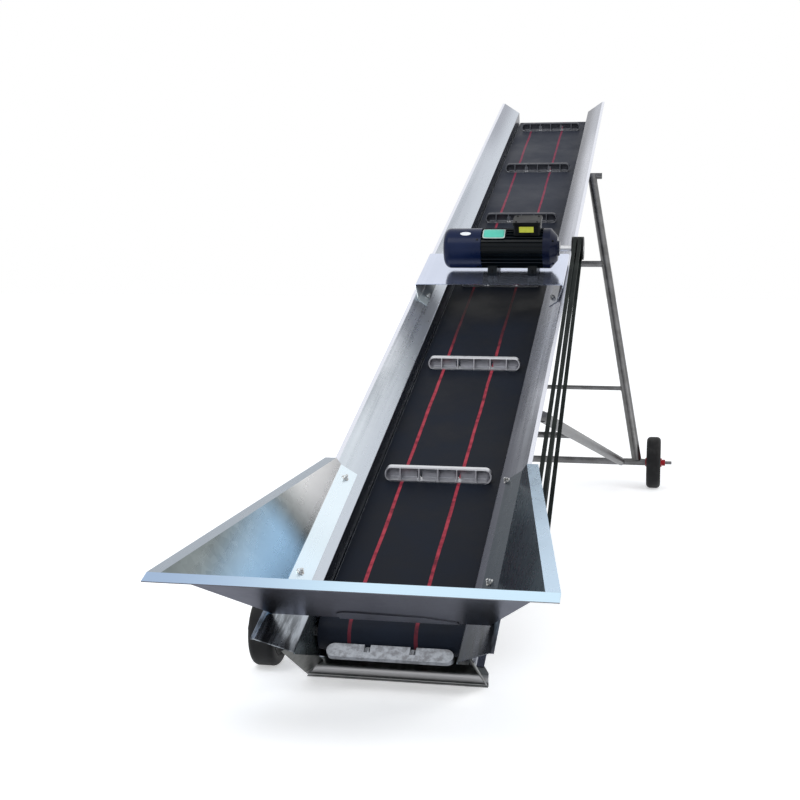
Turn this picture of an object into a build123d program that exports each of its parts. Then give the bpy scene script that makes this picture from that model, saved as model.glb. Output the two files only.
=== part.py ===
"""Mobile flighted belt conveyor: an inclined sheet-metal trough on a wheeled stand.

Origin on the floor, on the centre plane and at the middle of the overall length. +X is to the
right seen from the tail, +Y level towards the head, +Z up. Millimetres and degrees.
"""
import os
from math import atan2, cos, degrees, pi, radians, sin, sqrt

from build123d import *

os.makedirs("parts", exist_ok=True)

# Slope of the conveyor and height of its carrying face over the tail drum's axis
incline = 20.9
carry_height = 176.0
sheet = 2.5
seat_gap = 0.2
plate_thickness = 6.0
# How far a cut starts and ends past the material
cut_over = 20.0

# Belt loop
belt_width = 390.0
belt_thickness = 5.0
drum_radius = 40.0
drum_spacing = 5050.0
drum_face = 380.0

# Cast flights
flight_length = 333.0
flight_height = 42.0
flight_foot = 30.0
flight_wall = 4.0
flight_rim = 9.0
flight_rib_spacing = 59.0
flight_notch_offset = 60.0
flight_notch_width = 16.0
flight_notch_height = 24.0
flight_notch_depth = 10.0
flight_pitch = 825.0
flight_rib_count = 5
first_flight_arc = 79.0

# Trough section: clear width, bend, lip and bottom, measured from the carrying face
trough_width = 404.0
wall_bend_rise = 52.0
wall_top_rise = 109.0
wall_top_half_width = 284.0
wall_lip = 12.0
wall_drop = 150.0
wall_flange = 24.0
fold_radius = 5.0
wall_tail_end = -257.0
wall_head_overrun = 25.0
tail_cut_top = 46.0
tail_cut_bend = -222.0
tail_cut_foot = 30.0
deck_start = 60.0
deck_setback = 60.0
deck_flange = 22.0

# Shafts and flanged bearings
shaft_radius = 12.5
shaft_reach = 265.0
shaft_hole_gap = 4.0
bearing_radius = 38.0
bearing_flange = 8.0
bearing_boss_radius = 25.0
bearing_boss = 18.0

# Tail tray that rests on the floor
tray_overhang = 42.0
tray_back = 250.0
tray_front = -6.0
tray_foot = 12.0
tray_round = 15.0
tray_corner = 42.0
tray_corner_width = 18.0

# Gussets between the walls' tail ends and the tray, along the slope and over the carrying face
gusset_top = -150.0
gusset_top_rise = 40.0
gusset_foot_rise = -170.0
gusset_fall = -1.137
gusset_setback = 3.3
gusset_lean = 57.0

# Cross ties under the trough
tie_width = 40.0
tie_height = 20.0
first_tie_stations = (900.0, 2250.0, 3300.0)
last_tie_setback = 200.0

# Hopper, along the slope and over the carrying face
wing_back = 635.0
wing_fold_half_width = 274.0
wing_front_foot = -138.0
wing_front_top = -398.0
wing_back_height = 26.0
wing_front_height = 324.0
wing_angle = 60.0
wing_lip = 34.0
wing_flap = 58.0
flap_setback = 70.0
front_lip = 38.0
crease_left = -100.0
crease_right = 200.0
crease_height = 78.0
crease_round = 34.0
crease_fall = 40.0
crease_depth = 3.0

# Bridge over the trough that carries the motor
bridge_start = 2020.0
bridge_length = 345.0
bridge_rise = 150.0
bridge_half_length = 289.0
bridge_leg_half_span = 268.0
bridge_foot = 38.0
bridge_foot_lead = 45.0
bridge_foot_flat = 10.0
bridge_leg_edge = 5.0

# Motor
motor_station = 2180.0
motor_foot_height = 12.0
motor_foot_inset = 42.0
motor_foot_length = 36.0
motor_foot_spread = 68.0
motor_sole = 10.0
motor_foot_root_half = 49.0
motor_foot_root_drop = 42.0
motor_radius = 78.0
motor_body_radius = 70.0
motor_left = -188.0
fan_cover_length = 150.0
motor_body_length = 241.0
end_bell_length = 62.0
bell_straight = 28.0
bell_boss = 8.0
bell_shoulder_radius = 48.0
bell_boss_radius = 31.0
bell_tip_radius = 28.0
motor_shaft_radius = 12.0
fin_count = 28
fin_thickness = 3.0
fin_root = 2.0
fan_cover_round = 26.0
grille_rings = 3
grille_first_radius = 18.0
grille_pitch = 12.0
grille_slot = 5.0
grille_depth = 6.0
junction_box_size = (104.0, 84.0, 42.0)
junction_box_inset = 62.0
junction_lid = 12.0
lid_overhang = 3.0
junction_round = 8.0
junction_sink = 3.0

# V-belt drive
drive_plane = 335.0
motor_pulley_radius = 45.0
drive_pulley_radius = 100.0
pulley_hub = 16.0
pulley_rim = 20.0
pulley_dish = 16.0
pulley_web_hole = 16.0
pulley_width = 46.0
groove_spacing = 19.0
v_belt_width = 13.0
v_belt_depth = 8.0
drive_station = 400.0
drive_shaft_left = -232.0
pulley_hole_count = 5
drive_shaft_tip = 6.0

# Stand
stand_setback = 500.0
strut_station = 1550.0
tube_wall = 3.0
bar_wall = 1.8
top_bar_radius = 17.0
top_bar_half_length = 310.0
leg_radius = 24.0
leg_top_half_span = 255.0
leg_hub_clearance = 42.0
upper_bar_radius = 17.0
upper_bar_height = 1140.0
lower_bar_radius = 11.0
lower_bar_height = 490.0
strut_radius = 21.0
strut_top_half_span = 246.0
strut_foot_half_span = 470.0
strut_bar_radius = 12.5
strut_bar_height = 415.0
strut_top_bar_half_length = 275.0
lug_width = 60.0
lug_pad = 4.0
lug_ring = 9.0

# Axle and main wheels
axle_run = 3550.0
axle_radius = 17.0
spindle_radius = 10.0
neck_radius = 7.0
neck_length = 2.0
spindle_tip_radius = 8.0
spindle_tip = 29.5
spindle_past_nut = 1.0
wheel_radius = 130.0
wheel_width = 70.0
wheel_track = 1268.0
rim_radius = 76.0
rim_width = 49.0
tyre_foot = 18.0
tyre_round = 20.0
hub_radius = 22.0
hub_length = 82.0
running_clearance = 0.05
side_clearance = 0.5
disc_dish = 6.0
disc_thickness = 5.0
nut_radius = 17.0
nut_length = 16.0

# Tail wheel, on the left only
tail_wheel_run = 140.0
tail_wheel_radius = 98.0
tail_wheel_width = 70.0
tail_wheel_offset = 376.0
tail_rim_radius = 55.0
tail_rim_width = 49.0
tail_tyre_round = 16.0
tail_hub_radius = 18.0
tail_hub_length = 78.0
tail_pin_radius = 8.0
bracket_length = 110.0
bracket_height = 96.0
pin_collar = 6.0
pin_tip = 4.0

# Trough section and hopper edges that follow from the sizes
half_trough = trough_width / 2
tray_half_width = half_trough + tray_overhang
wall_head_end = drum_spacing + wall_head_overrun
deck_end = drum_spacing - deck_setback
stand_station = drum_spacing - stand_setback
tie_stations = (*first_tie_stations, drum_spacing - last_tie_setback)
loop_radius = drum_radius + belt_thickness
drum_rise = -loop_radius
flare_slope = (wall_top_rise - wall_bend_rise) / (wall_top_half_width - half_trough)
flare_angle = degrees(atan2(flare_slope, 1))


def flare_rise(half_width):
    """Rise of the flare's upper face at a distance from the centre plane."""
    outer_face = wall_bend_rise + (half_width - half_trough - sheet) * flare_slope
    return outer_face + sheet / cos(radians(flare_angle))


wing_fold_rise = flare_rise(wing_fold_half_width) + (sheet + seat_gap) / cos(radians(flare_angle))
wing_top_half = wing_fold_half_width + wing_front_height * cos(radians(wing_angle))
wing_top_rise = wing_fold_rise + wing_front_height * sin(radians(wing_angle))
wing_back_rise = wing_fold_rise + wing_back_height * sin(radians(wing_angle))

# Level distances from the tail drum to both ends of the machine, and to its middle
slope_cos = cos(radians(incline))
slope_sin = sin(radians(incline))
hopper_reach = (wing_front_top - seat_gap - front_lip) * slope_cos - wing_top_rise * slope_sin
head_reach = wall_head_end * slope_cos + (wall_drop + sheet) * slope_sin
tail_run = -(hopper_reach + head_reach) / 2

# Planes of the inclined trough: along the slope, across it and seen from the side
slope_up = Vector(0, slope_cos, slope_sin)
slope_normal = Vector(0, -slope_sin, slope_cos)
slope = Plane(origin=(0, tail_run, carry_height), x_dir=(1, 0, 0), z_dir=slope_normal)
section = Plane(origin=slope.origin, x_dir=(1, 0, 0), z_dir=slope_up * -1)
side = Plane(origin=slope.origin, x_dir=slope_up, z_dir=(1, 0, 0))


def on_slope(across, along, rise):
    """World point from a place across, along and over the carrying face."""
    return slope.origin + Vector(across, 0, 0) + slope_up * along + slope_normal * rise


def floor_rise(along):
    """Rise, negative, at which the floor lies below a station on the slope."""
    return -(carry_height + along * slope_sin) / slope_cos


def save(builder, name):
    """Label a finished piece and write its file."""
    builder.part.label = name
    export_step(builder.part, f"parts/{name}.step")


def run_between(start, end):
    """Plane at a run's start that faces its end, and the run's length."""
    return Plane(origin=start, z_dir=end - start), (end - start).length


# Side walls: bottom flange, upright web, flared top and folded lip
for side_name, hand in (("left", -1), ("right", 1)):
    with BuildPart() as wall:
        with BuildSketch(section.offset(-wall_tail_end)):
            with BuildLine():
                FilletPolyline(
                    (hand * (half_trough + sheet + wall_flange), -wall_drop),
                    (hand * (half_trough + sheet), -wall_drop),
                    (hand * (half_trough + sheet), wall_bend_rise),
                    (hand * (wall_top_half_width + sheet), wall_top_rise),
                    (hand * (wall_top_half_width + sheet + wall_lip), wall_top_rise),
                    radius=fold_radius,
                )
                offset(amount=sheet, side=Side.LEFT if hand > 0 else Side.RIGHT)
            make_face()
        extrude(amount=-(wall_head_end - wall_tail_end))
        # The flare's tail end runs back a little towards the web
        with BuildSketch(slope.offset(tail_cut_top)):
            with BuildLine():
                Polyline(
                    (hand * wall_top_half_width, wall_tail_end),
                    (hand * half_trough, tail_cut_bend),
                    (hand * (half_trough - cut_over), tail_cut_bend),
                    (hand * (half_trough - cut_over), wall_tail_end - cut_over),
                    (hand * wall_top_half_width, wall_tail_end - cut_over),
                    close=True,
                )
            make_face()
        extrude(amount=wall_top_rise, mode=Mode.SUBTRACT)
        # The web's tail end slants back from the flare to the tray
        with BuildSketch(side.offset(hand * (half_trough - cut_over))):
            with BuildLine():
                Polyline(
                    (wall_tail_end - cut_over, tail_cut_top),
                    (tail_cut_bend, tail_cut_top),
                    (tail_cut_foot, -wall_drop + sheet),
                    (tail_cut_foot, -wall_drop - cut_over),
                    (wall_tail_end - cut_over, -wall_drop - cut_over),
                    close=True,
                )
            make_face()
        extrude(amount=hand * (sheet + wall_flange + 2 * cut_over), mode=Mode.SUBTRACT)
        # Shaft holes
        hole_places = [(0, drum_rise), (drive_station, drum_rise), (drum_spacing, drum_rise)]
        with BuildSketch(side.offset(hand * half_trough - cut_over)):
            with Locations(*hole_places):
                Circle(shaft_radius + shaft_hole_gap)
        extrude(amount=2 * cut_over, mode=Mode.SUBTRACT)
    save(wall, f"wall_{side_name}")

# Slider deck under the carrying run, its edges folded down
with BuildPart() as deck:
    with BuildSketch(section.offset(-deck_start)):
        with BuildLine():
            FilletPolyline(
                (-half_trough + seat_gap, -belt_thickness - deck_flange),
                (-half_trough + seat_gap, -belt_thickness),
                (half_trough - seat_gap, -belt_thickness),
                (half_trough - seat_gap, -belt_thickness - deck_flange),
                radius=fold_radius,
            )
            offset(amount=sheet, side=Side.RIGHT)
        make_face()
    extrude(amount=-(deck_end - deck_start))
save(deck, "slider_deck")

# Belt: one closed loop round both drums
with BuildPart() as belt:
    with BuildSketch(side.offset(-belt_width / 2)):
        with Locations((drum_spacing / 2, drum_rise)):
            SlotCenterToCenter(drum_spacing, 2 * loop_radius)
            SlotCenterToCenter(drum_spacing, 2 * drum_radius, mode=Mode.SUBTRACT)
    extrude(amount=belt_width)
save(belt, "conveyor_belt")

# One flight: a rounded casting on edge, its back smooth, its pockets open downhill between ribs
back_plane = Plane.XZ.offset(-flight_foot / 2)
with BuildPart() as flight:
    with BuildSketch(back_plane):
        with Locations((0, flight_height / 2)):
            SlotOverall(flight_length, flight_height)
    extrude(amount=flight_foot)
    with BuildSketch(back_plane.offset(flight_wall)):
        with Locations((0, flight_height / 2)):
            SlotOverall(flight_length - 2 * flight_wall, flight_height - 2 * flight_wall)
            with GridLocations(flight_rib_spacing, 0, flight_rib_count, 1):
                Rectangle(flight_wall, flight_height, mode=Mode.SUBTRACT)
    extrude(amount=flight_foot, mode=Mode.SUBTRACT)
    # The open face slopes from the narrow rim down to the wide foot
    with BuildSketch(Plane.YZ.offset(-flight_length / 2)):
        with BuildLine():
            Polyline(
                (-flight_foot / 2, flight_wall),
                (flight_foot / 2 - flight_wall - flight_rim, flight_height),
                (-flight_foot / 2, flight_height),
                close=True,
            )
        make_face()
    extrude(amount=flight_length, mode=Mode.SUBTRACT)
    # Two notches in the back's lower edge
    with BuildSketch(back_plane):
        with GridLocations(2 * flight_notch_offset, 0, 2, 1):
            Rectangle(flight_notch_width, 2 * flight_notch_height)
    extrude(amount=flight_notch_depth, mode=Mode.SUBTRACT)


def belt_plane(distance):
    """Plane on the belt's outer face, z outwards, x across, at a distance from the tail drum."""
    mid_radius = drum_radius + belt_thickness / 2
    wrap = pi * mid_radius
    if distance < 0:
        turn = -distance / mid_radius
        centre = 0
    elif distance <= drum_spacing:
        return Plane(origin=on_slope(0, distance, 0), x_dir=(1, 0, 0), z_dir=slope_normal)
    elif distance <= drum_spacing + wrap:
        turn = -(distance - drum_spacing) / mid_radius
        centre = drum_spacing
    else:
        turn = pi
        centre = 2 * drum_spacing + wrap - distance
    outward = slope_up * -sin(turn) + slope_normal * cos(turn)
    return Plane(
        origin=on_slope(0, centre, drum_rise) + outward * loop_radius,
        x_dir=(1, 0, 0),
        z_dir=outward,
    )


# As many flights as the belt's length has room for
belt_length = 2 * drum_spacing + 2 * pi * (drum_radius + belt_thickness / 2)
flight_count = int(belt_length / flight_pitch)
with BuildPart() as flights:
    for number in range(flight_count):
        station = belt_plane(number * flight_pitch - first_flight_arc)
        add(flight.part.moved(station.location))
save(flights, "flights")

# Drums with their shafts, one at each end of the loop
for drum_name, station in (("tail_drum", 0.0), ("head_drum", drum_spacing)):
    with BuildPart() as drum:
        with BuildSketch(side.offset(-drum_face / 2)):
            with Locations((station, drum_rise)):
                Circle(drum_radius)
        extrude(amount=drum_face)
        with BuildSketch(side.offset(-shaft_reach)):
            with Locations((station, drum_rise)):
                Circle(shaft_radius)
        extrude(amount=2 * shaft_reach)
    save(drum, drum_name)

# Drive shaft between the two runs of the belt, and the pulley it carries
with BuildPart() as drive_shaft:
    with BuildSketch(side.offset(drive_shaft_left)):
        with Locations((drive_station, drum_rise)):
            Circle(shaft_radius)
    extrude(amount=drive_plane + pulley_width / 2 + drive_shaft_tip - drive_shaft_left)
save(drive_shaft, "drive_shaft")

# Flanged bearings on the outside of the walls, a pair for each shaft
for pair_name, station in (("tail", 0.0), ("drive", drive_station), ("head", drum_spacing)):
    with BuildPart() as bearings:
        for hand in (-1, 1):
            face = hand * (half_trough + sheet + seat_gap)
            with BuildSketch(side.offset(face)):
                with Locations((station, drum_rise)):
                    Circle(bearing_radius)
                    Circle(shaft_radius + seat_gap, mode=Mode.SUBTRACT)
            extrude(amount=hand * bearing_flange)
            with BuildSketch(side.offset(face + hand * bearing_flange)):
                with Locations((station, drum_rise)):
                    Circle(bearing_boss_radius)
                    Circle(shaft_radius + seat_gap, mode=Mode.SUBTRACT)
            extrude(amount=hand * bearing_boss)
    save(bearings, f"{pair_name}_bearings")

# Tail tray: folded sheet under the walls whose front fold stands on the floor, its lip turned out
with BuildPart() as tray:
    tray_top = -wall_drop - sheet
    front_foot_rise = floor_rise(tray_front)
    lip_end = tray_front - tray_foot * slope_cos
    lip_end_rise = front_foot_rise + tray_foot * slope_sin
    with BuildSketch(side.offset(-tray_half_width)):
        with BuildLine():
            FilletPolyline(
                (tray_back, tray_top),
                (tray_front, tray_top),
                (tray_front, front_foot_rise + sheet / slope_cos),
                (lip_end + sheet * slope_sin, lip_end_rise + sheet * slope_cos),
                radius=(tray_round, sheet),
            )
            offset(amount=sheet, side=Side.LEFT)
        make_face()
    extrude(amount=2 * tray_half_width)
    # Its sides are cut in behind the front corners
    for hand in (-1, 1):
        with BuildSketch(slope.offset(tray_top - sheet - cut_over)):
            with BuildLine():
                Polyline(
                    (hand * (tray_half_width - tray_corner_width), tray_back + cut_over),
                    (hand * (tray_half_width - tray_corner_width), tray_corner),
                    (hand * tray_half_width, tray_corner - 2 * tray_corner_width),
                    (hand * (tray_half_width + cut_over), tray_corner - 2 * tray_corner_width),
                    (hand * (tray_half_width + cut_over), tray_back + cut_over),
                    close=True,
                )
            make_face()
        extrude(amount=sheet + 2 * cut_over, mode=Mode.SUBTRACT)
save(tray, "tail_tray")

# Gussets: leaning strips from the walls' tail ends down to the tray's lip
gusset_inner = half_trough + sheet + seat_gap
gusset_run = (gusset_foot_rise - gusset_top_rise) / gusset_fall
with BuildPart() as gussets:
    for hand in (-1, 1):
        inner_top = on_slope(hand * gusset_inner, gusset_top, gusset_top_rise)
        gusset_outer = hand * (tray_half_width - gusset_setback)
        outer_top = on_slope(gusset_outer, gusset_top - gusset_lean, gusset_top_rise)
        fall = slope_up * gusset_run - slope_normal * (gusset_top_rise - gusset_foot_rise)
        gusset_plane = Plane(
            origin=inner_top,
            x_dir=outer_top - inner_top,
            z_dir=(outer_top - inner_top).cross(fall) * hand,
        )
        corners = [
            gusset_plane.to_local_coords(corner)
            for corner in (inner_top, outer_top, outer_top + fall, inner_top + fall)
        ]
        with BuildSketch(gusset_plane):
            with BuildLine():
                Polyline(*[(corner.X, corner.Y) for corner in corners], close=True)
            make_face()
        extrude(amount=sheet)
    # They are notched over the tray
    with BuildSketch(side.offset(-tray_half_width - cut_over)):
        with BuildLine():
            over_tray = FilletPolyline(
                (tray_back, tray_top + seat_gap),
                (tray_front - seat_gap, tray_top + seat_gap),
                (tray_front - seat_gap, -carry_height - cut_over),
                radius=tray_round + seat_gap,
            )
            Polyline(over_tray @ 1, (tray_back, -carry_height - cut_over), over_tray @ 0)
        make_face()
    extrude(amount=2 * (tray_half_width + cut_over), mode=Mode.SUBTRACT)
save(gussets, "tail_gussets")

# Cross ties: channels folded from strip, under the wall flanges
with BuildPart() as ties:
    tie_top = -wall_drop - sheet
    for station in tie_stations:
        with BuildSketch(side.offset(-half_trough - wall_flange)):
            with BuildLine():
                Polyline(
                    (station - tie_width / 2, tie_top - tie_height),
                    (station - tie_width / 2, tie_top),
                    (station + tie_width / 2, tie_top),
                    (station + tie_width / 2, tie_top - tie_height),
                    (station + tie_width / 2 - sheet, tie_top - tie_height),
                    (station + tie_width / 2 - sheet, tie_top - sheet),
                    (station - tie_width / 2 + sheet, tie_top - sheet),
                    (station - tie_width / 2 + sheet, tie_top - tie_height),
                    close=True,
                )
            make_face()
        extrude(amount=2 * (half_trough + wall_flange))
save(ties, "cross_ties")

# Hopper wings: one folded sheet each, a flap on the wall's flare, the steep panel and the flat lip
flap_half_width = wing_fold_half_width - wing_flap * cos(radians(flare_angle))
flap_rise = wing_fold_rise - wing_flap * sin(radians(flare_angle))
for side_name, hand in (("left", -1), ("right", 1)):
    with BuildPart() as wing:
        with BuildSketch(section.offset(-wing_back)):
            with BuildLine():
                FilletPolyline(
                    (hand * flap_half_width, flap_rise),
                    (hand * wing_fold_half_width, wing_fold_rise),
                    (hand * wing_top_half, wing_top_rise),
                    radius=fold_radius,
                )
                offset(amount=sheet, side=Side.RIGHT if hand > 0 else Side.LEFT)
            make_face()
        extrude(amount=wing_back - wing_front_top)
        # The top edge falls towards the back
        with BuildSketch(side.offset(hand * flap_half_width - wing_top_half)):
            with BuildLine():
                Polyline(
                    (wing_front_top, wing_top_rise),
                    (wing_back, wing_back_rise),
                    (wing_back, wing_top_rise + wing_lip),
                    (wing_front_top, wing_top_rise + wing_lip),
                    close=True,
                )
            make_face()
        extrude(amount=2 * wing_top_half, mode=Mode.SUBTRACT)
        # Lip folded outwards along that edge
        lip_back = on_slope(0, wing_back, wing_back_rise)
        lip_front = on_slope(0, wing_front_top, wing_top_rise)
        lip_run = (lip_back - lip_front).normalized()
        lip_length = (lip_back - lip_front).length
        back_half = wing_fold_half_width + wing_back_height * cos(radians(wing_angle))
        lip = Plane(origin=lip_front, x_dir=lip_run, z_dir=lip_run.cross(Vector(hand, 0, 0)))
        with BuildSketch(lip):
            with BuildLine():
                Polyline(
                    (0, wing_top_half),
                    (lip_length, back_half),
                    (lip_length, back_half + wing_lip),
                    (0, wing_top_half + wing_lip),
                    close=True,
                )
            make_face()
        extrude(amount=hand * sheet)
        # The front edge meets the front panel
        with BuildSketch(side.offset(-wing_top_half - 2 * wing_lip)):
            with BuildLine():
                Polyline(
                    (wing_front_top - wing_lip, 0),
                    (wing_front_foot + flap_setback, 0),
                    (wing_front_foot + flap_setback, flap_rise),
                    (wing_front_foot, wing_fold_rise),
                    (wing_front_top, wing_top_rise),
                    (wing_front_top, wing_top_rise + wing_lip),
                    (wing_front_top - wing_lip, wing_top_rise + wing_lip),
                    close=True,
                )
            make_face()
        extrude(amount=2 * (wing_top_half + 2 * wing_lip), mode=Mode.SUBTRACT)
    save(wing, f"hopper_wing_{side_name}")

# Hopper front: sloping panel across both wings, and the flat lip along its top
front_foot = on_slope(0, wing_front_foot, wing_fold_rise)
front_top = on_slope(0, wing_front_top, wing_top_rise)
front_up = (front_top - front_foot).normalized()
front_plane = Plane(origin=front_foot, x_dir=(1, 0, 0), z_dir=Vector(1, 0, 0).cross(front_up))
with BuildPart() as hopper_front:
    with BuildSketch(front_plane.offset(seat_gap)):
        with BuildLine():
            Polyline(
                (-wing_fold_half_width, 0),
                (wing_fold_half_width, 0),
                (wing_top_half + sheet, (front_top - front_foot).length),
                (-wing_top_half - sheet, (front_top - front_foot).length),
                close=True,
            )
        make_face()
    extrude(amount=sheet)
    # Its lower edge is dented outwards under a long crease
    with BuildSketch(front_plane.offset(seat_gap + sheet)):
        with BuildLine():
            crease = FilletPolyline(
                (crease_left, 0),
                (crease_left, crease_height),
                (crease_right - crease_height, crease_height - crease_fall / 2),
                (crease_right, crease_fall / 2),
                (crease_right, 0),
                radius=(crease_round, crease_round, crease_fall / 4),
            )
            Line(crease @ 1, crease @ 0)
        make_face()
    extrude(amount=crease_depth)
    with BuildSketch(slope.offset(wing_top_rise)):
        with Locations((0, wing_front_top - seat_gap)):
            Rectangle(2 * (wing_top_half + wing_lip), front_lip, align=(Align.CENTER, Align.MAX))
    extrude(amount=-sheet)
save(hopper_front, "hopper_front")

# Motor bridge: folded plate over the trough, its feet on the flares
bridge_end = bridge_start + bridge_length
foot_lift = (sheet + seat_gap) / cos(radians(flare_angle))
foot_outer = bridge_leg_half_span
foot_inner = foot_outer - bridge_foot * cos(radians(flare_angle))
with BuildPart() as bridge:
    with BuildSketch(section.offset(-bridge_end)):
        with BuildLine():
            FilletPolyline(
                (-foot_inner, flare_rise(foot_inner) + foot_lift),
                (-foot_outer, flare_rise(foot_outer) + foot_lift),
                (-bridge_half_length, bridge_rise),
                (bridge_half_length, bridge_rise),
                (foot_outer, flare_rise(foot_outer) + foot_lift),
                (foot_inner, flare_rise(foot_inner) + foot_lift),
                radius=fold_radius,
            )
            offset(amount=sheet, side=Side.LEFT)
        make_face()
    extrude(amount=bridge_length + bridge_foot_lead)
    # The feet reach out ahead of the plate, with slanted leg edges
    with BuildSketch(side.offset(-bridge_half_length - 2 * fold_radius)):
        with BuildLine():
            toe_rise = flare_rise(foot_outer) + bridge_foot_flat
            Polyline(
                (bridge_start - bridge_foot_lead - cut_over, toe_rise),
                (bridge_start - bridge_foot_lead + bridge_leg_edge, toe_rise),
                (bridge_start, bridge_rise - bridge_leg_edge),
                (bridge_start, bridge_rise + cut_over),
                (bridge_start - bridge_foot_lead - cut_over, bridge_rise + cut_over),
                close=True,
            )
        make_face()
    extrude(amount=2 * (bridge_half_length + 2 * fold_radius), mode=Mode.SUBTRACT)
save(bridge, "motor_bridge")

# Motor: finned body on its feet
motor_rise = bridge_rise + sheet + motor_foot_height + motor_radius
body_left = motor_left + fan_cover_length
body_right = body_left + motor_body_length
bell_right = body_right + end_bell_length
motor_centre = on_slope(0, motor_station, motor_rise)
motor_axis = Axis(motor_centre, (1, 0, 0))
motor_half = Plane(origin=motor_centre, x_dir=(1, 0, 0), z_dir=slope_up * -1)
motor_cross = Plane(origin=motor_centre, x_dir=slope_up, z_dir=(1, 0, 0))
with BuildPart() as motor_body:
    with BuildSketch(motor_cross.offset(body_left)):
        Circle(motor_body_radius)
        with PolarLocations((motor_body_radius + motor_radius) / 2 - fin_root / 2, fin_count):
            Rectangle(motor_radius - motor_body_radius + fin_root, fin_thickness)
    extrude(amount=motor_body_length)
    # Two feet whose soles stand on the bridge
    for foot_station in (body_left + motor_foot_inset, body_right - motor_foot_inset):
        with BuildSketch(motor_cross.offset(foot_station - motor_foot_length / 2)):
            with BuildLine():
                Polyline(
                    (-motor_foot_spread, -motor_radius - motor_foot_height),
                    (motor_foot_spread, -motor_radius - motor_foot_height),
                    (motor_foot_spread, -motor_radius - motor_foot_height + motor_sole),
                    (motor_foot_root_half, -motor_foot_root_drop),
                    (-motor_foot_root_half, -motor_foot_root_drop),
                    (-motor_foot_spread, -motor_radius - motor_foot_height + motor_sole),
                    close=True,
                )
            make_face()
        extrude(amount=motor_foot_length)
save(motor_body, "motor_body")

# Fan cover: rounded cap on the left end
with BuildPart() as fan_cover:
    with BuildSketch(motor_half):
        with BuildLine():
            FilletPolyline(
                (body_left - seat_gap, 0),
                (body_left - seat_gap, motor_radius),
                (motor_left, motor_radius),
                (motor_left, 0),
                radius=(0.5, fan_cover_round),
            )
            Line((motor_left, 0), (body_left - seat_gap, 0))
        make_face()
    revolve(axis=motor_axis)
    with BuildSketch(motor_cross.offset(motor_left)):
        for ring in range(grille_rings):
            inner_radius = grille_first_radius + ring * grille_pitch
            Circle(inner_radius + grille_slot)
            Circle(inner_radius, mode=Mode.SUBTRACT)
    extrude(amount=grille_depth, mode=Mode.SUBTRACT)
save(fan_cover, "motor_fan_cover")

# End bell with its boss, and the shaft that carries the pulley
with BuildPart() as end_bell:
    with BuildSketch(motor_half):
        with BuildLine():
            Polyline(
                (body_right + seat_gap, 0),
                (body_right + seat_gap, motor_radius),
                (body_right + bell_straight, motor_radius),
                (bell_right - bell_boss, bell_shoulder_radius),
                (bell_right - bell_boss, bell_boss_radius),
                (bell_right, bell_tip_radius),
                (bell_right, motor_shaft_radius),
                (drive_plane + pulley_width / 2, motor_shaft_radius),
                (drive_plane + pulley_width / 2, 0),
                close=True,
            )
        make_face()
    revolve(axis=motor_axis)
save(end_bell, "motor_end_bell")

# Junction box on top of the body
box_across, box_along, box_tall = junction_box_size
junction_box_centre = body_right - junction_box_inset
box_foot = sqrt(motor_body_radius**2 - (box_along / 2) ** 2) - junction_sink
box_body = motor_radius - box_foot + box_tall - junction_lid
with BuildPart() as junction_box:
    with BuildSketch(motor_half.offset(-box_along / 2)):
        with Locations((junction_box_centre, box_foot)):
            Rectangle(box_across, box_body, align=(Align.CENTER, Align.MIN))
    extrude(amount=box_along)
    with BuildSketch(motor_cross.offset(body_left)):
        Circle(motor_radius + seat_gap)
    extrude(amount=motor_body_length + cut_over, mode=Mode.SUBTRACT)
    lid = junction_box.edges().filter_by(Axis(motor_centre, slope_normal))
    fillet(lid, junction_round)
    with BuildSketch(slope.offset(motor_rise + motor_radius + box_tall - junction_lid)):
        with Locations((junction_box_centre, motor_station)):
            RectangleRounded(box_across + 2 * lid_overhang, box_along + 2 * lid_overhang, junction_round)
    extrude(amount=junction_lid)
save(junction_box, "junction_box")

# Grooved pulleys: the small one on the motor, the large one with a pierced web
groove_places = (drive_plane - groove_spacing / 2, drive_plane + groove_spacing / 2)
pulley_left = drive_plane - pulley_width / 2
drive_centre = on_slope(0, drive_station, drum_rise)
pulley_table = (
    # name, centre, outer radius, bore radius, web holes
    ("motor_pulley", motor_centre, motor_pulley_radius, motor_shaft_radius, 0),
    ("drive_pulley", drive_centre, drive_pulley_radius, shaft_radius, pulley_hole_count),
)
for pulley_name, centre, radius, bore, holes in pulley_table:
    half_plane = Plane(origin=centre, x_dir=(1, 0, 0), z_dir=slope_up * -1)
    cross_plane = Plane(origin=centre, x_dir=slope_up, z_dir=(1, 0, 0))
    with BuildPart() as pulley:
        with BuildSketch(half_plane):
            with Locations((drive_plane, 0)):
                Rectangle(pulley_width, radius, align=(Align.CENTER, Align.MIN))
            with Locations(*[(place, radius) for place in groove_places]):
                Trapezoid(
                    v_belt_width + 2 * seat_gap,
                    2 * (v_belt_depth + seat_gap),
                    90,
                    mode=Mode.SUBTRACT,
                )
            if holes:
                for face, away in ((pulley_left, -1), (pulley_left + pulley_width, 1)):
                    with Locations((face, bore + pulley_hub)):
                        Rectangle(
                            2 * pulley_dish,
                            radius - pulley_rim - bore - pulley_hub,
                            align=(Align.CENTER, Align.MIN),
                            mode=Mode.SUBTRACT,
                        )
        revolve(axis=Axis(centre, (1, 0, 0)))
        with BuildSketch(cross_plane.offset(pulley_left)):
            Circle(bore + seat_gap / 2)
            if holes:
                with PolarLocations((radius - pulley_rim + bore + pulley_hub) / 2, holes):
                    Circle(pulley_web_hole)
        extrude(amount=pulley_width, mode=Mode.SUBTRACT)
    save(pulley, pulley_name)

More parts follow.
